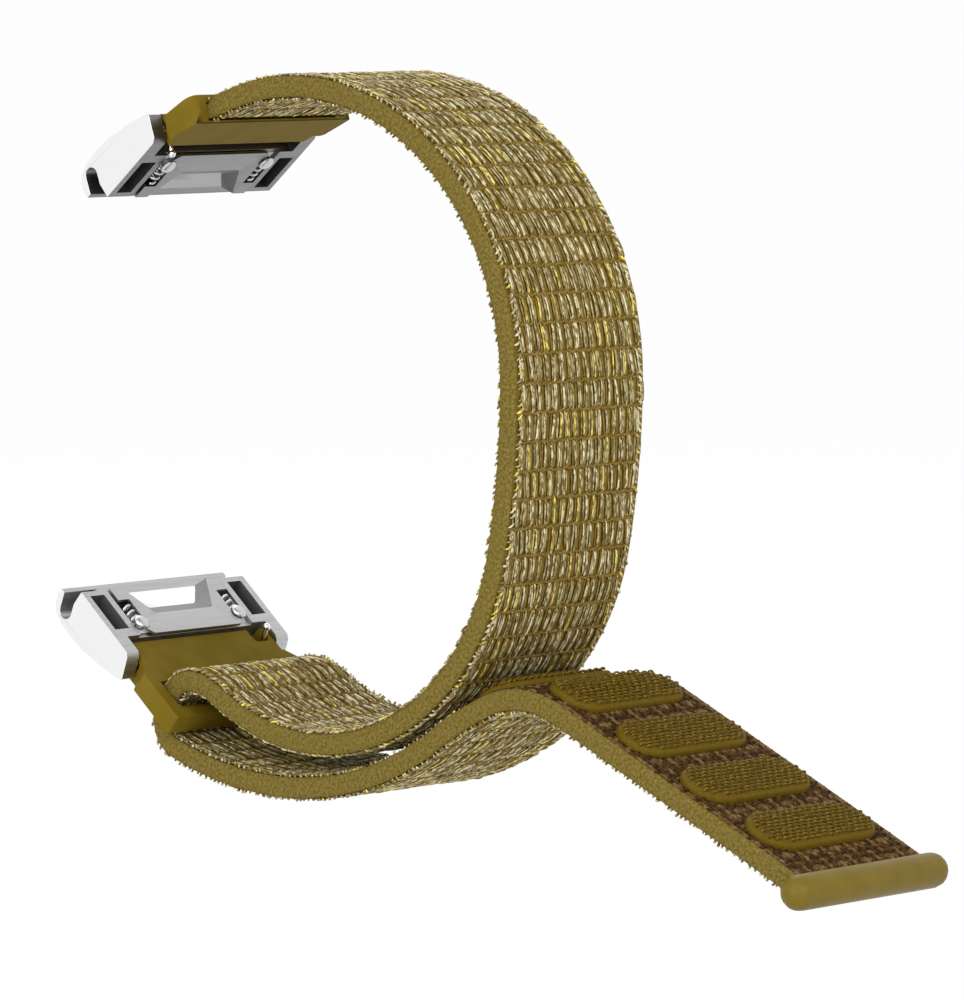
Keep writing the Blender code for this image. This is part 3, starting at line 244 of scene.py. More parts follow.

# Coil springs: each replaces its node. The real ones shorten with their joints.
COIL_STEPS = 20
COIL_SIDES = 10
LATCH_COIL_START = 0.0050
LATCH_COIL_DEPTH = 0.00045
LATCH_COIL_ACROSS = 0.00785
LATCH_COIL = {"radius": 0.0006, "wire_radius": 0.00015, "turns": 3, "length": 0.0028}
PIN_COIL_START = 0.0010
PIN_COIL = {"radius": 0.00038, "wire_radius": 0.0001, "turns": 8, "length": 0.0079}

# Finish of the CAD nodes: material and width of the rounded edges
SMOOTH_ANGLE = 35
WELD_DISTANCE = 0.000002
EDGE_SEGMENTS = 2
RIVET_EDGE = 0.00004
CONNECTOR_EDGE = 0.00006
LATCH_EDGE = 0.00004
ADAPTER_EDGE = 0.0002
FIXED_PIN_EDGE = 0.00004
RELEASE_PIN_EDGE = 0.00003

# Slots of the band's yarns, and the shares in which they are drawn for each lane of a column
THREADS = ["pale", "gold", "khaki", "olive", "umber"]
RIB_SLOT = 4
WEAVE_SLOT, FLECK_SLOT = 0, 1
LANE_SHARES = ((0.52, 0.16, 0.32, 0.0, 0.0), (0.16, 0.05, 0.49, 0.30, 0.0),
               (0.06, 0.02, 0.42, 0.40, 0.10), (0.0, 0.0, 0.12, 0.38, 0.50),
               (0.0, 0.0, 0.0, 0.20, 0.80))
STITCH_SHARES = (0.50, 0.16, 0.34, 0.0, 0.0)
FRINGE_SHARES = (0.24, 0.14, 0.34, 0.20, 0.08)

# Materials. Noise is its scale and detail, tones are where two colours part, and a bump is its strength
# and distance.
THREAD_NOISE = (1.6, 2.0)
THREAD_TONES = (0.42, 0.58)
THREAD_SHINE = 0.13
THREAD_TWIST = {"Scale": 1.4, "Distortion": 0.6}
THREAD_BUMP = (0.35, 0.00005)
CLOTH_DETAIL = 4.0
CLOTH_TONES = (0.36, 0.64)
CLOTH_SHINE = 0.08
CLOTH_RIBS = {"Distortion": 5.0, "Detail": 2.0}
CLOTH_BUMP_STRENGTH = 0.7
PLASTIC_NOISE = (0.35, 3.0)
PLASTIC_TONES = (0.3, 0.7)
PLASTIC_GRAIN = (9.0, 3.0)
PLASTIC_SMOOTHER, PLASTIC_ROUGHER = 0.06, 0.08
PLASTIC_BUMP = (0.15, 0.00003)
BRUSH_NOISE = (3.0, 3.0)
BRUSH_STRETCH = (1.0, 0.08, 1.0)
BRUSH_TONES = (0.2, 0.8)
BRUSH_SHADE = 0.9
STEEL_BUMP = (0.08, 0.00002)
FACE_STRETCH = (1.0, 0.06, 1.0)
FACE_TONES = (0.25, 0.75)
FACE_BUMP = (0.06, 0.00002)
FACE_ROUGHNESS = 0.36
PLATE_POLISH, ZONE_DULLNESS, FACE_BRUSHING = -0.18, 0.25, 0.06
LATCH_ROUGHNESS, LATCH_BRUSHING = 0.26, 0.12
END_PLATE_COLOUR = "f3f3f3"
# Painted light: a light grey, set in place of metal, that lightens the spring notches against their own shade
NOTCH_PAINTED_LIGHT = "e4e4e5"


def linear(text):
    """A colour written as six hexadecimal digits, as linear light by the sRGB curve, with full alpha."""
    levels = [int(text[i:i + 2], 16) / 255 for i in (0, 2, 4)]
    return tuple(c / 12.92 if c <= 0.04045 else ((c + 0.055) / 1.055) ** 2.4 for c in levels) + (1,)


# The band's path
def arc(radius, turn):
    """A run's length and turn."""
    return radius * math.radians(abs(turn)), turn


def path_runs():
    """Each run's start distance, place and heading, with its curvature."""
    runs = [(SEAT_DEPTH, 0.0)] + [arc(*a) for a in ARCS] + [(SLOT_RUN, 0.0)]
    runs += [arc(*a) for a in ARCS_OUT] + TAIL_RUNS
    heading = math.radians(LOOP_START[2])
    x = LOOP_START[0] - SEAT_DEPTH * math.cos(heading)
    z = LOOP_START[1] - SEAT_DEPTH * math.sin(heading)
    distance = -SEAT_DEPTH
    rows = []
    for length, turn in runs:
        curve = math.radians(turn) / length
        rows.append((distance, x, z, heading, curve))
        new = heading + math.radians(turn)
        if turn:
            x += (math.sin(new) - math.sin(heading)) / curve
            z -= (math.cos(new) - math.cos(heading)) / curve
        else:
            x += length * math.cos(heading)
            z += length * math.sin(heading)
        heading = new
        distance += length
    return np.array(rows)


PATH = path_runs()
LOOP_FLEX, TAIL_FLEX, CREST_FLEX = PATH[[LOOP_FLEX_RUN, TAIL_FLEX_RUN, CREST_FLEX_RUN], 0]
PAD_FIRST = CREST_FLEX + PAD_FIRST_FROM_CREST
MIDDLE_FLEX = PAD_FIRST + PAD_PITCH * (PADS_BEFORE_MIDDLE_FLEX - 1 / 2)
BAND_END = PATH[-1, 0] + TAIL_RUNS[-1][0]


def wrap(flat):
    """Places on the strap of flat places: distance along the band, across it, and off its middle."""
    flat = np.asarray(flat, float)
    along, across, off = flat[..., 0], flat[..., 1], flat[..., 2]
    row = PATH[np.clip(np.searchsorted(PATH[:, 0], along, "right") - 1, 0, len(PATH) - 1)]
    step, x, z, heading, curve = along - row[..., 0], row[..., 1], row[..., 2], row[..., 3], row[..., 4]
    now = heading + curve * step
    bent = np.abs(curve) > STRAIGHT_BELOW
    safe = np.where(bent, curve, 1.0)
    x = x + np.where(bent, (np.sin(now) - np.sin(heading)) / safe, step * np.cos(heading))
    z = z + np.where(bent, -(np.cos(now) - np.cos(heading)) / safe, step * np.sin(heading))
    return np.stack([x - off * np.sin(now), across, z + off * np.cos(now)], -1)


def middle(distance):
    """The middle of the band at a distance along it."""
    return Vector(wrap((distance, 0.0, 0.0)))


# Meshes
def new_mesh(name, verts, polygons, materials, slots, uvs=None, smooth=None):
    """A mesh object from vertex places and polygons, with UV maps given as a corner list for each name."""
    mesh = bpy.data.meshes.new(name)
    sizes = np.concatenate([np.full(len(p), p.shape[1]) for p in polygons])
    loops = np.concatenate([p.ravel() for p in polygons])
    mesh.vertices.add(len(verts))
    mesh.vertices.foreach_set("co", np.asarray(verts, np.float32).ravel())
    mesh.loops.add(len(loops))
    mesh.loops.foreach_set("vertex_index", loops.astype(np.int32))
    mesh.polygons.add(len(sizes))
    starts = np.concatenate([[0], np.cumsum(sizes)[:-1]])
    mesh.polygons.foreach_set("loop_start", starts.astype(np.int32))
    mesh.polygons.foreach_set("material_index", np.asarray(slots, np.int32))
    for material in materials:
        mesh.materials.append(material)
    for layer, corners in (uvs or {}).items():
        made = mesh.uv_layers.new(name=layer)
        made.data.foreach_set("uv", np.asarray(corners, np.float32).ravel())
    mesh.update(calc_edges=True)
    if smooth is not None:
        mesh.polygons.foreach_set("use_smooth", np.asarray(smooth, bool))
    mesh.validate()
    obj = bpy.data.objects.new(name, mesh)
    bpy.context.scene.collection.objects.link(obj)
    return obj


def ring_faces(rings, sides):
    """The quads between closed rings of points, and the caps on the first and last ring."""
    i, j = np.arange(rings - 1)[:, None], np.arange(sides)[None]
    k = (j + 1) % sides
    quads = np.stack([i * sides + j, i * sides + k, (i + 1) * sides + k, (i + 1) * sides + j], -1)
    caps = np.stack([np.arange(sides)[::-1], (rings - 1) * sides + np.arange(sides)])
    return quads.reshape(-1, 4), caps


def tubes(lines, radii, across, slots, sides=TUBE_SIDES, flatness=1.0):
    """Closed tubes along lines of flat places, (count, points, 3), each with its own material slot.

    The first point of each ring lies in the direction across.
    """
    count, points = lines.shape[:2]
    radii = np.broadcast_to(radii, (count, points))
    along = np.gradient(lines, axis=1)
    along /= np.linalg.norm(along, axis=2, keepdims=True)
    first = across - (along @ across)[..., None] * along
    first /= np.linalg.norm(first, axis=2, keepdims=True)
    second = np.cross(along, first) * flatness
    angle = 2 * math.pi * np.arange(sides) / sides
    ring = first[:, :, None] * np.cos(angle)[:, None] + second[:, :, None] * np.sin(angle)[:, None]
    verts = lines[:, :, None] + radii[:, :, None, None] * ring
    quads, caps = ring_faces(points, sides)
    base = np.arange(count)[:, None, None] * points * sides
    length = np.linalg.norm(np.diff(lines, axis=1), axis=2).sum(1)
    return {"verts": verts.reshape(-1, 3), "quads": quads + base, "caps": caps + base,
            "points": points, "sides": sides, "count": count, "length": length,
            "slots": np.broadcast_to(slots, count)}


def tube_object(name, families, materials, place=wrap):
    """One mesh of tube families, set in place. Each tube has its own cell in the bake's map."""
    verts, polygons, slots, smooth, cloth_map, bake_map = [], [], [], [], [], []
    offset = number = 0
    cells = math.ceil(math.sqrt(sum(f["count"] for f in families)))
    for f in families:
        count, points, sides = f["count"], f["points"], f["sides"]
        cell = number + np.arange(count)
        corner = np.stack([cell % cells, cell // cells], -1) / cells
        i, j = np.meshgrid(np.arange(points - 1), np.arange(sides), indexing="ij")
        u = np.stack([j, j + 1, j + 1, j], -1).reshape(-1, 4) / sides
        v = np.stack([i, i, i + 1, i + 1], -1).reshape(-1, 4) / (points - 1)
        shape = (count,) + u.shape
        uv = np.stack([np.broadcast_to(u, shape), np.broadcast_to(v, shape)], -1)
        shift = RNG.uniform(0, CLOTH_SHIFT, (count, 1, 1))
        cloth_uv = np.stack([uv[..., 0] + shift, uv[..., 1] * f["length"][:, None, None] / MM + shift], -1)
        bake_uv = corner[:, None, None] + (CELL_MARGIN + CELL_SPAN * uv) / cells
        cloth_map.append(cloth_uv.reshape(-1, 2))
        bake_map.append(bake_uv.reshape(-1, 2))
        polygons.append(f["quads"].reshape(-1, 4) + offset)
        slots.append(np.repeat(f["slots"], u.shape[0]))
        smooth.append(np.ones(count * u.shape[0], bool))
        polygons.append(f["caps"].reshape(-1, sides) + offset)
        around = np.arange(sides) * 2 * math.pi / sides
        disc = CAP_CENTRE + CAP_RADIUS * np.stack([np.cos(around), np.sin(around)], -1)
        cap_uv = corner[:, None, None] + np.broadcast_to(disc, (count, 2, sides, 2)) * CAP_SPAN / cells
        bake_map.append(cap_uv.reshape(-1, 2))
        cloth_map.append((cap_uv + shift[..., None]).reshape(-1, 2))
        slots.append(np.repeat(f["slots"], 2))
        smooth.append(np.zeros(count * 2, bool))
        verts.append(f["verts"])
        offset += len(f["verts"])
        number += count
    return new_mesh(name, place(np.concatenate(verts)), polygons, materials, np.concatenate(slots),
                    {"cloth": np.concatenate(cloth_map), "OFBake": np.concatenate(bake_map)},
                    np.concatenate(smooth))


def section():
    """The band's section as (across, off) pairs, and which stretches are selvage."""
    half, thick = BAND_WIDTH / 2, BAND_THICKNESS / 2
    side = [(half * a, thick * h) for a, h in BEAD_SHARES]
    flat = np.linspace(0, half * BEAD_SHARES[0][0], GROUND_COLUMNS + 1)[:-1]
    right_top = [(a, GROUND_LEVEL) for a in flat] + side
    right = right_top + [(a, -h) for a, h in reversed(right_top[:-1])]
    left = [(-a, h) for a, h in reversed(right)][1:-1]
    points = np.array(right + left)
    middles = (points + np.roll(points, -1, 0)) / 2
    return points[::-1], (np.abs(middles[:, 0]) > half * BEAD_SHARES[0][0])[::-1]


def core_object(name, start, end):
    """The ground cloth and selvage of one length of band."""
    points, selvage = section()
    selvage = np.roll(selvage, -1)
    count = len(points)
    rings = max(2, round((end - start) / CORE_STEP) + 1)
    along = np.linspace(start, end, rings)
    flat = np.zeros((rings, count, 3))
    flat[..., 0] = along[:, None]
    flat[..., 1:] = points
    swell = np.clip((along - MOUTH_END) / MOUTH_SWELL, 0, 1)[:, None]
    flat[..., 1] *= MOUTH_WIDTH_SHARE + (1 - MOUTH_WIDTH_SHARE) * swell
    flat[..., 2] *= MOUTH_THICKNESS_SHARE + (1 - MOUTH_THICKNESS_SHARE) * swell
    quads, caps = ring_faces(rings, count)
    outline = np.vstack([points, points[:1]])
    walk = np.concatenate([[0], np.cumsum(np.linalg.norm(np.diff(outline, axis=0), axis=1))])
    u = np.stack([walk[:-1], walk[:-1], walk[1:], walk[1:]], -1) / MM
    u = np.broadcast_to(u, (rings - 1, count, 4))
    v = np.stack([along[:-1], along[1:], along[1:], along[:-1]], -1)[:, None] / MM
    v = np.broadcast_to(v, (rings - 1, count, 4))
    cloth_map = np.concatenate([np.stack([u, v], -1).reshape(-1, 2), points / MM, points[::-1] / MM])
    selvage_here = np.broadcast_to(selvage, (rings - 1, count)).ravel()
    slots = np.concatenate([np.where(selvage_here, 1, 0), [1, 1]])
    smooth = np.concatenate([np.ones(len(selvage_here), bool), [False, False]])
    obj = new_mesh(name, wrap(flat.reshape(-1, 3)), [quads[:, [0, 3, 2, 1]], caps[:, ::-1]],
                   palette("ground", "selvage"), slots, {"cloth": cloth_map}, smooth)
    obj.data.set_sharp_from_angle(angle=math.radians(CORE_SHARP_ANGLE))
    return obj


def pick(shares, count):
    """Random slots drawn by their shares."""
    shares = np.array(shares, float)
    return RNG.choice(len(shares), count, p=shares / shares.sum())


def pile(start, end, side):
    """Looped strands in rows on one face, with a scalloped rib between rows. side is 1 outside."""
    rows = np.arange(math.ceil(start / ROW_PITCH), math.ceil(end / ROW_PITCH))
    columns = round(2 * PILE_HALF_WIDTH / COLUMN_PITCH)
    across = (np.arange(columns) + 0.5 - columns / 2) * COLUMN_PITCH
    drift = RNG.uniform(-ROW_DRIFT, ROW_DRIFT, (len(rows), 1)) * COLUMN_PITCH
    shape = (len(rows), columns, len(STRAND_LANES))
    centre = np.broadcast_to((rows * ROW_PITCH)[:, None, None], shape)
    lane = np.array(STRAND_LANES) * COLUMN_PITCH + RNG.normal(0, LANE_SPREAD, shape)
    shift = (across + drift + RNG.normal(0, COLUMN_SPREAD, (len(rows), columns)))[..., None]
    slant = RNG.normal(STRAND_SLANT, COLUMN_SLANT_SPREAD, shape[:2])[..., None]
    slant = slant + RNG.normal(0, STRAND_SLANT_SPREAD, shape)
    length = PILE_LENGTH * RNG.normal(1, STRAND_LENGTH_SPREAD, shape)
    top = np.array(STRAND_TOPS) + RNG.normal(0, STRAND_TOP_SPREAD, shape)
    centre = centre + RNG.normal(0, STRAND_ALONG_SPREAD, shape)
    share, rise, fan, taper = STRAND_PROFILE
    lines = np.zeros(shape + (len(share), 3))
    lines[..., 0] = centre[..., None] + length[..., None] * (share - 0.5)
    lines[..., 1] = shift[..., None] + lane[..., None] * fan + (slant * length)[..., None] * (share - 0.5)
    lines[..., 2] = side * (PILE_FOOT + (top - PILE_FOOT)[..., None] * rise)
    tone = np.stack([pick(shares, shape[:2]) for shares in LANE_SHARES], -1).ravel()
    radii = STRAND_RADIUS * RNG.normal(1, STRAND_RADIUS_SPREAD, (len(tone), 1)) * taper
    strands = tubes(lines.reshape(len(tone), len(share), 3), radii, Y_AXIS, tone,
                    flatness=STRAND_FLATNESS)
    steps = RIB_STEPS * columns + 1
    ribs = np.zeros((len(rows), steps, 3))
    ribs[..., 1] = np.linspace(-PILE_HALF_WIDTH, PILE_HALF_WIDTH, steps)
    wave = np.cos(2 * math.pi * (ribs[..., 1] - drift) / COLUMN_PITCH)
    stray = RNG.normal(0, RIB_ALONG_SPREAD, ribs.shape[:2])
    ribs[..., 0] = (rows[:, None] + 0.5) * ROW_PITCH + RIB_SCALLOP * wave + stray
    ribs[..., 2] = side * (RIB_LEVEL + RNG.normal(0, RIB_LEVEL_SPREAD, ribs.shape[:2]))
    return [strands, tubes(ribs, RIB_RADIUS, X_AXIS, RIB_SLOT)]


def stitches(start, end, side):
    """Slanted stitches sewn over one face's two borders."""
    pitch, to, top, last = (table[side] for table in (STITCH_PITCHES, STITCH_TOS, STITCH_TOPS, STITCH_ENDS))
    count = int((end - start) / pitch)
    shares = STITCH_SHARES if side > 0 else FRINGE_SHARES
    rise = np.array(STITCH_RISES + [(last - STITCH_FOOT) / (top - STITCH_FOOT)])
    families = []
    for border in (-1, 1):
        lines = np.zeros((count, len(STITCH_PLACES), 3))
        centre = start + (np.arange(count) + 0.5) * pitch + RNG.normal(0, STITCH_ALONG_SPREAD, count)
        reach = RNG.normal(1, STITCH_REACH_SPREAD, count)
        slant = RNG.normal(STITCH_SLANT_MM, STITCH_SLANT_SPREAD_MM, count) * MM
        lines[..., 0] = centre[:, None] + slant[:, None] * (STITCH_PLACES - 0.5)
        lines[..., 1] = border * (STITCH_FROM + (to - STITCH_FROM) * STITCH_PLACES * reach[:, None])
        tops = top + RNG.normal(0, STITCH_TOP_SPREAD, count)
        lines[..., 2] = side * (STITCH_FOOT + (tops[:, None] - STITCH_FOOT) * rise)
        radii = STITCH_RADIUS * RNG.normal(1, STITCH_RADIUS_SPREAD, (count, 1)) * STITCH_TAPER
        families.append(tubes(lines, radii, X_AXIS, pick(shares, count)))
    return families


def weave(start, end):
    """Open plain weave on the hook side: dark warps over dark wefts, with flecks of a lighter yarn."""
    rows = np.arange(math.ceil(start / WEFT_PITCH), math.ceil(end / WEFT_PITCH))
    warps = round(2 * WEAVE_HALF_WIDTH / WARP_PITCH)
    steps = WARP_STEPS * len(rows) + 1
    along = np.linspace(start, end, steps)
    lines = np.zeros((warps, steps, 3))
    lines[..., 0] = along
    across = (np.arange(warps) + 0.5 - warps / 2) * WARP_PITCH
    lines[..., 1] = across[:, None] + RNG.normal(0, WARP_SPREAD, (warps, steps))
    wave = np.cos(math.pi * (along / WEFT_PITCH + (np.arange(warps) % 2)[:, None]))
    lines[..., 2] = WEAVE_LEVEL + WARP_SWING * wave
    tone = np.where(np.arange(warps) % WARP_FLECK_EVERY == 0, FLECK_SLOT, WEAVE_SLOT)
    warp_family = tubes(lines, YARN_RADIUS * WARP_RADIUS_SHARE, Y_AXIS, tone)
    steps = WEFT_STEPS * warps + 1
    lines = np.zeros((len(rows), steps, 3))
    lines[..., 0] = (rows * WEFT_PITCH)[:, None] + RNG.normal(0, WEFT_SPREAD, (len(rows), steps))
    across = np.linspace(-WEAVE_HALF_WIDTH, WEAVE_HALF_WIDTH, steps)
    lines[..., 1] = across
    wave = np.cos(math.pi * ((across + WEAVE_HALF_WIDTH) / WARP_PITCH + 1 / 2 + (rows % 2)[:, None]))
    lines[..., 2] = WEAVE_LEVEL + WEFT_SWING * wave
    tone = np.where(RNG.random(len(rows)) < WEFT_FLECK_SHARE, FLECK_SLOT, WEAVE_SLOT)
    return [warp_family, tubes(lines, YARN_RADIUS, X_AXIS, tone)]


def pad_outline(inset):
    """A stadium outline, (along, across) about its centre, drawn in by an inset."""
    radius = PAD_LENGTH / 2 - inset
    straight = PAD_WIDTH / 2 - PAD_LENGTH / 2
    turn = np.linspace(0, math.pi, PAD_TURN_STEPS + 1)
    right = np.stack([radius * np.cos(turn), straight + radius * np.sin(turn)], -1)
    return np.concatenate([right, -right])


def pad_object(number):
    """The rounded base of one hook pad."""
    centre = PAD_FIRST + number * PAD_PITCH
    rings = []
    for inset, level in PAD_PROFILE:
        outline = pad_outline(inset)
        flat = np.zeros((len(outline), 3))
        flat[:, 0] = centre + outline[:, 0]
        flat[:, 1] = outline[:, 1]
        flat[:, 2] = level
        rings.append(flat)
    verts = np.concatenate(rings)
    quads, caps = ring_faces(len(rings), len(rings[0]))
    corners = np.concatenate([quads.ravel(), caps.ravel()])
    cloth_map = verts[corners][:, :2] / MM
    smooth = np.ones(len(quads) + len(caps), bool)
    base = new_mesh("pad_%d_base" % number, wrap(verts), [quads, caps], palette("pad"),
                    np.zeros(len(smooth)), {"cloth": cloth_map}, smooth)
    base.data.set_sharp_from_angle(angle=math.radians(PAD_SHARP_ANGLE))
    return base


def pad_hooks(number):
    """The staggered rows of moulded hooks on one pad."""
    centre = PAD_FIRST + number * PAD_PITCH
    rows = int((PAD_LENGTH - 2 * HOOK_MARGIN) / HOOK_ROW_PITCH) + 1
    reach = PAD_LENGTH / 2 - HOOK_MARGIN
    places = []
    for row in range(rows):
        along = (row - (rows - 1) / 2) * HOOK_ROW_PITCH
        half = PAD_WIDTH / 2 - PAD_LENGTH / 2 + math.sqrt(max(reach ** 2 - along ** 2, 0))
        shift = (-row * HOOK_STAGGER) % HOOK_COLUMN_PITCH
        across = np.arange(-PAD_WIDTH, PAD_WIDTH, HOOK_COLUMN_PITCH) + shift
        places += [(centre + along, a) for a in across if abs(a) < half]
    places = np.array(places)
    count = len(places)
    share, height, taper = HOOK_PROFILE
    lines = np.zeros((count, len(share), 3))
    size = RNG.normal(1, HOOK_SIZE_SPREAD, (count, 1))
    stray = RNG.normal(0, HOOK_ALONG_SPREAD, (count, 1))
    lines[..., 0] = places[:, :1] + stray + HOOK_LEAN * share * size
    lines[..., 1] = places[:, 1:] + HOOK_SPAN * share * size
    lines[..., 2] = PAD_TOP + HOOK_HEIGHT * height * size
    family = tubes(lines, HOOK_RADIUS * taper, X_AXIS, 0)
    return tube_object("pad_%d_hooks" % number, [family], palette("hook"))


# Shader nodes
def nodes_of(name):
    """A new material, its tree and its shader."""
    material = bpy.data.materials.new(name)
    material.use_nodes = True
    tree = material.node_tree
    return material, tree, tree.nodes["Principled BSDF"]


def add_node(tree, kind, **values):
    """A shader node with its properties and unlinked inputs set. Input names take underscores for spaces."""
    node = tree.nodes.new(kind)
    for key, value in values.items():
        if hasattr(node, key):
            setattr(node, key, value)
        else:
            node.inputs[key.replace("_", " ")].default_value = value
    return node


def feed(tree, shader, **sockets):
    """Links sockets to the shader's inputs. Input names take underscores for spaces."""
    for key, socket in sockets.items():
        tree.links.new(socket, shader.inputs[key.replace("_", " ")])


def mix_colours(tree, factor, first, second):
    """A colour mix; first and second are colours or sockets."""
    mix = tree.nodes.new("ShaderNodeMix")
    mix.data_type = "RGBA"
    tree.links.new(factor, mix.inputs["Factor"])
    for socket, value in ((mix.inputs["A"], first), (mix.inputs["B"], second)):
        colours = [s for s in mix.inputs if s.name == socket.name and s.type == "RGBA"]
        if isinstance(value, tuple):
            colours[0].default_value = value
        else:
            tree.links.new(value, colours[0])
    return [s for s in mix.outputs if s.type == "RGBA"][0]


def map_range(tree, factor, **limits):
    """A factor taken from one range to another; a range that isn't given is 0..1."""
    node = add_node(tree, "ShaderNodeMapRange", **limits)
    tree.links.new(factor, node.inputs["Value"])
    return node.outputs["Result"]


def two_tones(tree, factor, tones, dark, light):
    """A mix of two hexadecimal colours by a factor that is stretched from the tones' range to 0..1."""
    stretched = map_range(tree, factor, From_Min=tones[0], From_Max=tones[1])
    return mix_colours(tree, stretched, linear(dark), linear(light))


def cloth_coordinates(tree):
    return add_node(tree, "ShaderNodeUVMap", uv_map="cloth").outputs["UV"]


def object_coordinates(tree):
    """Object space in millimetres."""
    place = add_node(tree, "ShaderNodeTexCoord").outputs["Object"]
    scale = add_node(tree, "ShaderNodeVectorMath", operation="SCALE", Scale=1 / MM)
    tree.links.new(place, scale.inputs[0])
    return scale.outputs["Vector"]


def noise(tree, place, scale, detail, stretch=None):
    if stretch:
        mapping = add_node(tree, "ShaderNodeMapping", Scale=stretch)
        tree.links.new(place, mapping.inputs["Vector"])
        place = mapping.outputs["Vector"]
    node = add_node(tree, "ShaderNodeTexNoise", Scale=scale, Detail=detail)
    tree.links.new(place, node.inputs["Vector"])
    return node.outputs["Fac"]


def diagonal_wave(tree, place, **values):
    node = add_node(tree, "ShaderNodeTexWave", wave_type="BANDS", bands_direction="DIAGONAL", **values)
    tree.links.new(place, node.inputs["Vector"])
    return node.outputs["Fac"]


def bump(tree, shader, height, strength, distance):
    node = add_node(tree, "ShaderNodeBump", Strength=strength, Distance=distance)
    tree.links.new(height, node.inputs["Height"])
    feed(tree, shader, Normal=node.outputs["Normal"])


def math_node(tree, operation, first, second=None):
    node = add_node(tree, "ShaderNodeMath", operation=operation)
    for socket, value in zip(node.inputs, (first, second)):
        if value is None:
            continue
        if isinstance(value, (int, float)):
            socket.default_value = value
        else:
            tree.links.new(value, socket)
    return node.outputs[0]


def weighted(tree, base, *terms):
    """A base level plus each factor times its weight."""
    for factor, weight in terms:
        base = math_node(tree, "ADD", base, math_node(tree, "MULTIPLY", factor, weight))
    return base


def dot(tree, vector, direction, shift=0.0):
    node = add_node(tree, "ShaderNodeVectorMath", operation="DOT_PRODUCT")
    node.inputs[1].default_value = direction
    tree.links.new(vector, node.inputs[0])
    return math_node(tree, "ADD", node.outputs["Value"], shift)


def zone(tree, places, limits):
    """One where every place named in the limits lies between its two."""
    inside = None
    for name, (low, high) in limits.items():
        over = math_node(tree, "GREATER_THAN", places[name], low)
        under = math_node(tree, "LESS_THAN", places[name], high)
        here = math_node(tree, "MULTIPLY", over, under)
        inside = here if inside is None else math_node(tree, "MULTIPLY", inside, here)
    return inside


def face_places(tree, axis, along, outward):
    """Object space, and the places on one connector in millimetres that the zones name."""
    place = object_coordinates(tree)
    pivot = Vector(axis) / MM
    return place, {
        "along": dot(tree, place, along, PIVOT_ALONG / MM - pivot.dot(Vector(along))),
        "into": dot(tree, place, outward, PIVOT_DEPTH / MM - pivot.dot(Vector(outward))),
        "off": math_node(tree, "ABSOLUTE", dot(tree, place, Y_AXIS)),
    }


# Materials
def thread(name, dark, light, rough=0.6):
    """A twisted filament yarn in two tones of one colour."""
    material, tree, shader = nodes_of(name)
    place = cloth_coordinates(tree)
    feed(tree, shader, Base_Color=two_tones(tree, noise(tree, place, *THREAD_NOISE), THREAD_TONES,
                                            dark, light))
    shader.inputs["Roughness"].default_value = rough
    shader.inputs["Specular IOR Level"].default_value = THREAD_SHINE
    bump(tree, shader, diagonal_wave(tree, place, **THREAD_TWIST), *THREAD_BUMP)
    return material


def cloth(name, dark, light, scale, rib_scale, depth, rough=0.85):
    """A felted or woven ground."""
    material, tree, shader = nodes_of(name)
    place = cloth_coordinates(tree)
    feed(tree, shader, Base_Color=two_tones(tree, noise(tree, place, scale, CLOTH_DETAIL), CLOTH_TONES,
                                            dark, light))
    shader.inputs["Roughness"].default_value = rough
    shader.inputs["Specular IOR Level"].default_value = CLOTH_SHINE
    bump(tree, shader, diagonal_wave(tree, place, Scale=rib_scale, **CLOTH_RIBS), CLOTH_BUMP_STRENGTH, depth)
    return material


def plastic(name, dark, light, rough, shine):
    """Satin moulded plastic with a faint eroded grain."""
    material, tree, shader = nodes_of(name)
    place = object_coordinates(tree)
    grain = noise(tree, place, *PLASTIC_GRAIN)
    feed(tree, shader,
         Base_Color=two_tones(tree, noise(tree, place, *PLASTIC_NOISE), PLASTIC_TONES, dark, light),
         Roughness=map_range(tree, grain, To_Min=rough - PLASTIC_SMOOTHER, To_Max=rough + PLASTIC_ROUGHER))
    shader.inputs["Specular IOR Level"].default_value = shine
    bump(tree, shader, grain, *PLASTIC_BUMP)
    return material


def steel(name, colour, rough, streak):
    """Brushed or polished steel."""
    material, tree, shader = nodes_of(name)
    lines = noise(tree, object_coordinates(tree), *BRUSH_NOISE, BRUSH_STRETCH)
    shade = map_range(tree, lines, From_Min=BRUSH_TONES[0], From_Max=BRUSH_TONES[1])
    tint = tuple(c * BRUSH_SHADE for c in linear(colour)[:3]) + (1,)
    feed(tree, shader, Base_Color=mix_colours(tree, shade, tint, linear(colour)),
         Roughness=map_range(tree, lines, To_Min=rough * (1 - streak), To_Max=rough * (1 + streak)))
    shader.inputs["Metallic"].default_value = 1.0
    bump(tree, shader, lines, *STEEL_BUMP)
    return material


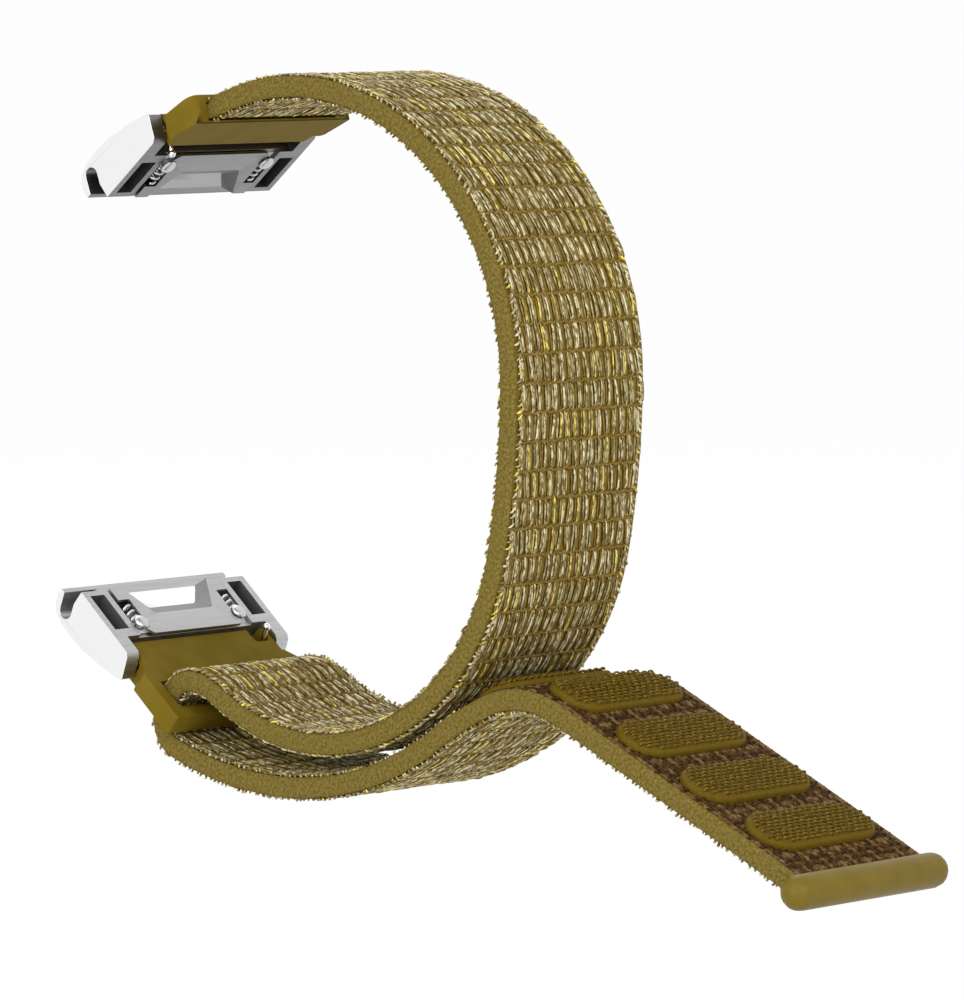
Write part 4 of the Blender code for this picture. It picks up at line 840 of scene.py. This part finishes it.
def connector_steel(name, connector, face, painted_recess_shade):
    """Polished end plates and satin faces on one connector, with painted light that lightens its spring
    notches and painted shade that darkens its recesses.
    """
    material, tree, shader = nodes_of(name)
    place, places = face_places(tree, *connector)
    normal = add_node(tree, "ShaderNodeTexCoord").outputs["Normal"]
    facing = math_node(tree, "ABSOLUTE", dot(tree, normal, Y_AXIS))
    plate = math_node(tree, "MULTIPLY", math_node(tree, "GREATER_THAN", facing, END_PLATE_FACING),
                      math_node(tree, "GREATER_THAN", places["off"], END_PLATE_START_MM))
    recess, notch = zone(tree, places, RECESS_ZONE), zone(tree, places, NOTCH_ZONE)
    dull = math_node(tree, "MAXIMUM", recess, notch)
    lines = noise(tree, place, *BRUSH_NOISE, FACE_STRETCH)
    colour = two_tones(tree, lines, FACE_TONES, *face)
    # Over the satin face go the polished end plates, painted shade in the recesses and painted light in the
    # notches
    for factor, text in ((plate, END_PLATE_COLOUR), (recess, painted_recess_shade), (notch, NOTCH_PAINTED_LIGHT)):
        colour = mix_colours(tree, factor, colour, linear(text))
    rough = weighted(tree, FACE_ROUGHNESS, (plate, PLATE_POLISH), (dull, ZONE_DULLNESS),
                     (lines, FACE_BRUSHING))
    feed(tree, shader, Base_Color=colour, Roughness=rough,
         Metallic=math_node(tree, "SUBTRACT", 1.0, dull))
    bump(tree, shader, lines, *FACE_BUMP)
    return material


def latch_steel(name, connector, plate, tray_floor_light, tray_wall_shade):
    """Brushed latch plate, with a sunk floor lightened by painted light and sloped sides darkened by painted
    shade.
    """
    material, tree, shader = nodes_of(name)
    place, places = face_places(tree, *connector)
    lines = noise(tree, place, *BRUSH_NOISE, BRUSH_STRETCH)
    colour = two_tones(tree, lines, BRUSH_TONES, *plate)
    # Painted shade darkens the sloped sides and painted light brightens the sunk floor
    for limits, text in ((TRAY_WALL_ZONE, tray_wall_shade), (TRAY_FLOOR_ZONE, tray_floor_light)):
        colour = mix_colours(tree, zone(tree, places, limits), colour, linear(text))
    feed(tree, shader, Base_Color=colour,
         Roughness=weighted(tree, LATCH_ROUGHNESS, (lines, LATCH_BRUSHING)))
    shader.inputs["Metallic"].default_value = 1.0
    bump(tree, shader, lines, *FACE_BUMP)
    return material


MATERIALS = {
    "pale": thread("thread_pale", "7e6d3a", "ded5b0", 0.5),
    "gold": thread("thread_gold", "8c7836", "ead76c", 0.5),
    "khaki": thread("thread_khaki", "76673a", "bcaf84"),
    "olive": thread("thread_olive", "6e5c2b", "9c8c58", 0.65),
    "umber": thread("thread_umber", "745c22", "866e32", 0.7),
    "ground": cloth("ground_weave", "6c5512", "826924", 1.6, 2.0, 0.00004),
    "selvage": cloth("selvage_felt", "5f5018", "7c6c38", 3.0, 1.2, 0.00005),
    "weave": thread("weave_dark", "2a1804", "4a320e", 0.7),
    "fleck": thread("weave_fleck", "503818", "785d3b", 0.6),
    "pad": cloth("pad_base", "5e4a0a", "66520f", 2.0, 3.0, 0.00002, 0.6),
    "hook": thread("hook_filament", "5c4708", "745e18", 0.5),
    "moulding": plastic("olive_moulding", "6a5812", "73611c", 0.56, 0.05),
    "cap": plastic("cap_moulding", "6a5812", "73611c", 0.42, 0.20),
    "polished": steel("polished_steel", "f2f2f2", 0.14, 0.3),
    "satin": steel("satin_steel", "9c9c9d", 0.32, 0.2),
    "spring": steel("spring_steel", "dededf", 0.42, 0.2),
    "rivet": steel("rivet_steel", "d2d2d3", 0.34, 0.2),
    # Both connectors are the same steel. Their face, recess, latch plate and latch floor tones are lit and
    # shaded copies: painted shade makes the top connector's darker, painted light makes the bottom's lighter,
    # up to a white latch floor
    "top_connector": connector_steel("top_connector_steel", TOP_FRAME, ("7c7c7d", "969697"), "262626"),
    "bottom_connector": connector_steel("bottom_connector_steel", BOTTOM_FRAME, ("b2b2b3", "c6c6c7"),
                                        "4a4948"),
    "top_latch": latch_steel("top_latch_steel", TOP_FRAME, ("808081", "969697"), "a6a6a7", "5c5c5d"),
    "bottom_latch": latch_steel("bottom_latch_steel", BOTTOM_FRAME, ("b0b0b1", "c0c0c1"), "ffffff",
                                "8a8a8b"),
}


def palette(*names):
    return [MATERIALS[n] for n in names]


# Band pieces: name, start, end, bodies, flex and bend
LENGTHS = [
    ("upper", -SEAT_DEPTH, UPPER_END, ("strap_top", "strap_base"), LOOP_FLEX, LOOP_BEND),
    ("lower", UPPER_END, LOWER_END, ("strap_base",), None, None),
    ("root", LOWER_END, ROOT_END, ("strap_base", "tail_root"), TAIL_FLEX, TAIL_BEND),
    ("middle", ROOT_END, MIDDLE_END, ("tail_root", "tail_middle"), CREST_FLEX, CREST_BEND),
    ("tail", MIDDLE_END, BAND_END, ("tail_middle", "tail_end"), MIDDLE_FLEX, MIDDLE_BEND),
]
REPLACED = {"upper": "strap_upper", "lower": "strap_lower", "root": "strap_tail_root",
            "middle": "strap_tail_middle", "tail": "strap_tail_end"}


def carry(obj, bodies, flex, bend):
    """A band piece moves with its body when it has one; a piece that spans two bodies stays where it is."""
    if len(bodies) == 1:
        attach(obj, bodies[0])
    else:
        middle(flex - bend)
        middle(flex + bend)
        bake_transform(obj)


def dress_band():
    threads = palette(*THREADS)
    for name, start, end, bodies, flex, bend in LENGTHS:
        pieces = [core_object("band_%s_cloth" % name, start, end)]
        pile_start = max(start, PILE_START)
        outer_end = min(end, PILE_FACE_END)
        if outer_end > pile_start:
            pieces.append(tube_object("band_%s_outer_pile" % name, pile(pile_start, outer_end, 1), threads))
        pieces.append(tube_object("band_%s_inner_pile" % name, pile(pile_start, end, -1), threads))
        borders = stitches(pile_start, end, -1)
        if outer_end > pile_start:
            borders += stitches(pile_start, outer_end, 1)
        pieces.append(tube_object("band_%s_stitches" % name, borders, threads))
        weave_start = max(start, WEAVE_START)
        if end > weave_start:
            pieces.append(tube_object("band_%s_weave" % name, weave(weave_start, end),
                                      palette("weave", "fleck")))
        for piece in pieces:
            carry(piece, bodies, flex, bend)
        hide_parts(REPLACED[name])


def dress_pads():
    for number in range(PAD_COUNT):
        base, hooks = pad_object(number), pad_hooks(number)
        for piece in (base, hooks):
            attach(piece, PAD_BODIES[number])
        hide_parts("hook_pad_%d" % number)


def smoothing_group():
    """Welds split corners and shades smooth below an edge angle."""
    group = bpy.data.node_groups.new("weld_and_smooth", "GeometryNodeTree")
    group.interface.new_socket("Geometry", in_out="INPUT", socket_type="NodeSocketGeometry")
    group.interface.new_socket("Geometry", in_out="OUTPUT", socket_type="NodeSocketGeometry")
    start = group.nodes.new("NodeGroupInput")
    end = group.nodes.new("NodeGroupOutput")
    weld = group.nodes.new("GeometryNodeMergeByDistance")
    weld.inputs["Distance"].default_value = WELD_DISTANCE
    edge = group.nodes.new("GeometryNodeInputMeshEdgeAngle")
    over = group.nodes.new("FunctionNodeCompare")
    over.data_type = "FLOAT"
    over.operation = "GREATER_THAN"
    over.inputs["B"].default_value = math.radians(SMOOTH_ANGLE)
    normal = group.nodes.new("GeometryNodeSetMeshNormal")
    normal.mode = "SHARPNESS"
    links = group.links
    links.new(start.outputs["Geometry"], weld.inputs["Geometry"])
    links.new(weld.outputs["Geometry"], normal.inputs["Mesh"])
    links.new(edge.outputs["Unsigned Angle"], over.inputs["A"])
    links.new(over.outputs["Result"], normal.inputs["Edge Sharpness"])
    links.new(normal.outputs["Mesh"], end.inputs["Geometry"])
    return group


SMOOTHING = smoothing_group()


def finish_node(name, material, round_width=0.0):
    """A CAD node's finish: welded shading, fine rounded edges and its material."""
    obj = NODES[name]
    for slot in obj.material_slots:
        slot.link = "OBJECT"
        slot.material = MATERIALS[material]
    obj.modifiers.new("smooth", "NODES").node_group = SMOOTHING
    if round_width:
        bevel = obj.modifiers.new("fine_edges", "BEVEL")
        bevel.width = round_width
        bevel.segments = EDGE_SEGMENTS
        bevel.limit_method = "ANGLE"
        bevel.angle_limit = math.radians(SMOOTH_ANGLE)
        bevel.harden_normals = True


def dress_hardware():
    for end in ("top", "bottom"):
        finish_node(end + "_adapter", "moulding", ADAPTER_EDGE)
        finish_node(end + "_connector_body", end + "_connector", CONNECTOR_EDGE)
        finish_node(end + "_latch_plate", end + "_latch", LATCH_EDGE)
        finish_node(end + "_spring_bar_tube", "satin")
        finish_node(end + "_fixed_pin", "polished", FIXED_PIN_EDGE)
        finish_node(end + "_release_pin", "polished", RELEASE_PIN_EDGE)
        for side in ("near", "far"):
            finish_node("%s_latch_rivet_%s" % (end, side), "rivet", RIVET_EDGE)
    finish_node("end_cap", "cap")


def coil_object(name, anchor, direction, radius, wire_radius, turns, length):
    """A coil spring that starts at its fixed end."""
    forward = Vector(direction).normalized()
    side = forward.orthogonal().normalized()
    axes = np.array([side, forward.cross(side), forward])
    turn = np.linspace(0, turns, turns * COIL_STEPS + 1)
    angle = 2 * math.pi * turn
    height = wire_radius + (length - 2 * wire_radius) * turn / turns
    line = np.stack([radius * np.cos(angle), radius * np.sin(angle), height], -1)
    family = tubes(line[None], wire_radius, Z_AXIS, 0, COIL_SIDES)
    return tube_object(name, [family], palette("spring"), lambda flat: np.array(anchor) + flat @ axes)


def add_coil(node, body, joint, travel, slot, anchor, direction, radius, wire_radius, turns, length):
    """A coil in place of a node. Its joint and travel are not used."""
    coil = coil_object(node + "_coil", anchor, direction, radius, wire_radius, turns, length)
    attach(coil, body)
    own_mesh(coil)
    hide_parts(node)


def dress_springs():
    """Two latch springs in each connector and one spring in each bar."""
    travel = {joint["name"]: joint["range_m"][1] for joint in frame["record"]["behaviour"]["joints"]
              if "range_m" in joint}
    ends = (("top", TOP_FRAME, "strap_top", 1), ("bottom", BOTTOM_FRAME, "bottom_swivel", -1))
    for end, (axis, along, outward), bar_body, fixed_side in ends:
        along, outward = Vector(along), Vector(outward)
        latch, release = end + "_latch_slide", end + "_release_slide"
        for side, name in ((-1, "near"), (1, "far")):
            anchor = (Vector(axis) + along * (LATCH_COIL_START - PIVOT_ALONG)
                      + outward * (LATCH_COIL_DEPTH - PIVOT_DEPTH)
                      + Vector((0, -side * fixed_side * LATCH_COIL_ACROSS, 0)))
            add_coil("%s_latch_spring_%s" % (end, name), end + "_connector", latch, travel[latch],
                     "polished_steel", tuple(anchor), tuple(-along), **LATCH_COIL)
        anchor = Vector(axis) + Vector((0, fixed_side * PIN_COIL_START, 0))
        add_coil(end + "_pin_spring", bar_body, release, travel[release], "satin_steel", tuple(anchor),
                 (0, -fixed_side, 0), **PIN_COIL)


# Floor, light and camera
def camera_share(tree):
    """One where a camera, glossy or transmission ray looks."""
    path = add_node(tree, "ShaderNodeLightPath")
    seen = math_node(tree, "MAXIMUM", path.outputs["Is Camera Ray"], path.outputs["Is Glossy Ray"])
    return math_node(tree, "MAXIMUM", seen, path.outputs["Is Transmission Ray"])


def make_floor():
    half = FLOOR_SIZE / 2
    corners = ((-half, -half), (half, -half), (half, half), (-half, half))
    verts = np.array([(x, y, FLOOR_LEVEL) for x, y in corners])
    material, tree, shader = nodes_of("pale_floor")
    shader.inputs["Base Color"].default_value = linear(FLOOR_COLOUR)
    shader.inputs["Roughness"].default_value = FLOOR_ROUGHNESS
    white = add_node(tree, "ShaderNodeEmission")
    blend = add_node(tree, "ShaderNodeMixShader")
    seen = math_node(tree, "MULTIPLY", camera_share(tree), FLOOR_WHITE_SHARE)
    tree.links.new(seen, blend.inputs["Fac"])
    tree.links.new(shader.outputs[0], blend.inputs[1])
    tree.links.new(white.outputs[0], blend.inputs[2])
    tree.links.new(blend.outputs[0], tree.nodes["Material Output"].inputs["Surface"])
    floor = new_mesh("floor", verts, [np.array([[0, 1, 2, 3]])], [material], [0])


def make_world():
    """A white world, at full strength only where it is seen."""
    world = bpy.data.worlds.new("studio")
    bpy.context.scene.world = world
    world.use_nodes = True
    tree = world.node_tree
    background = tree.nodes["Background"]
    soft = math_node(tree, "MULTIPLY", camera_share(tree), 1.0 - WORLD_LEVEL)
    strength = math_node(tree, "ADD", soft, WORLD_LEVEL)
    tree.links.new(strength, background.inputs["Strength"])
    background.inputs["Color"].default_value = (1, 1, 1, 1)


def area_light(name, direction, distance, size, power):
    data = bpy.data.lights.new(name, "AREA")
    data.shape = "SQUARE"
    data.size = size
    data.energy = power
    obj = bpy.data.objects.new(name, data)
    toward = Vector(direction).normalized()
    obj.location = LAMPS_AIM + toward * distance
    obj.rotation_euler = toward.to_track_quat("Z", "Y").to_euler()
    bpy.context.scene.collection.objects.link(obj)


def make_camera():
    data = bpy.data.cameras.new("camera")
    data.lens = LENS
    data.sensor_width = SENSOR
    data.clip_start = CLIP_START
    data.clip_end = CLIP_END
    camera = bpy.data.objects.new("camera", data)
    camera.location = LOOK_AT - LOOK_DIRECTION.normalized() * LOOK_DISTANCE
    turn = LOOK_DIRECTION.to_track_quat("-Z", "Y") @ Quaternion((0, 0, 1), LOOK_ROLL)
    camera.rotation_euler = turn.to_euler()
    bpy.context.scene.collection.objects.link(camera)
    bpy.context.scene.camera = camera


make_camera()
make_world()
for lamp in LAMPS:
    area_light(*lamp)
make_floor()
dress_band()
dress_pads()
dress_hardware()
dress_springs()
bpy.context.scene.view_settings.view_transform = "Standard"
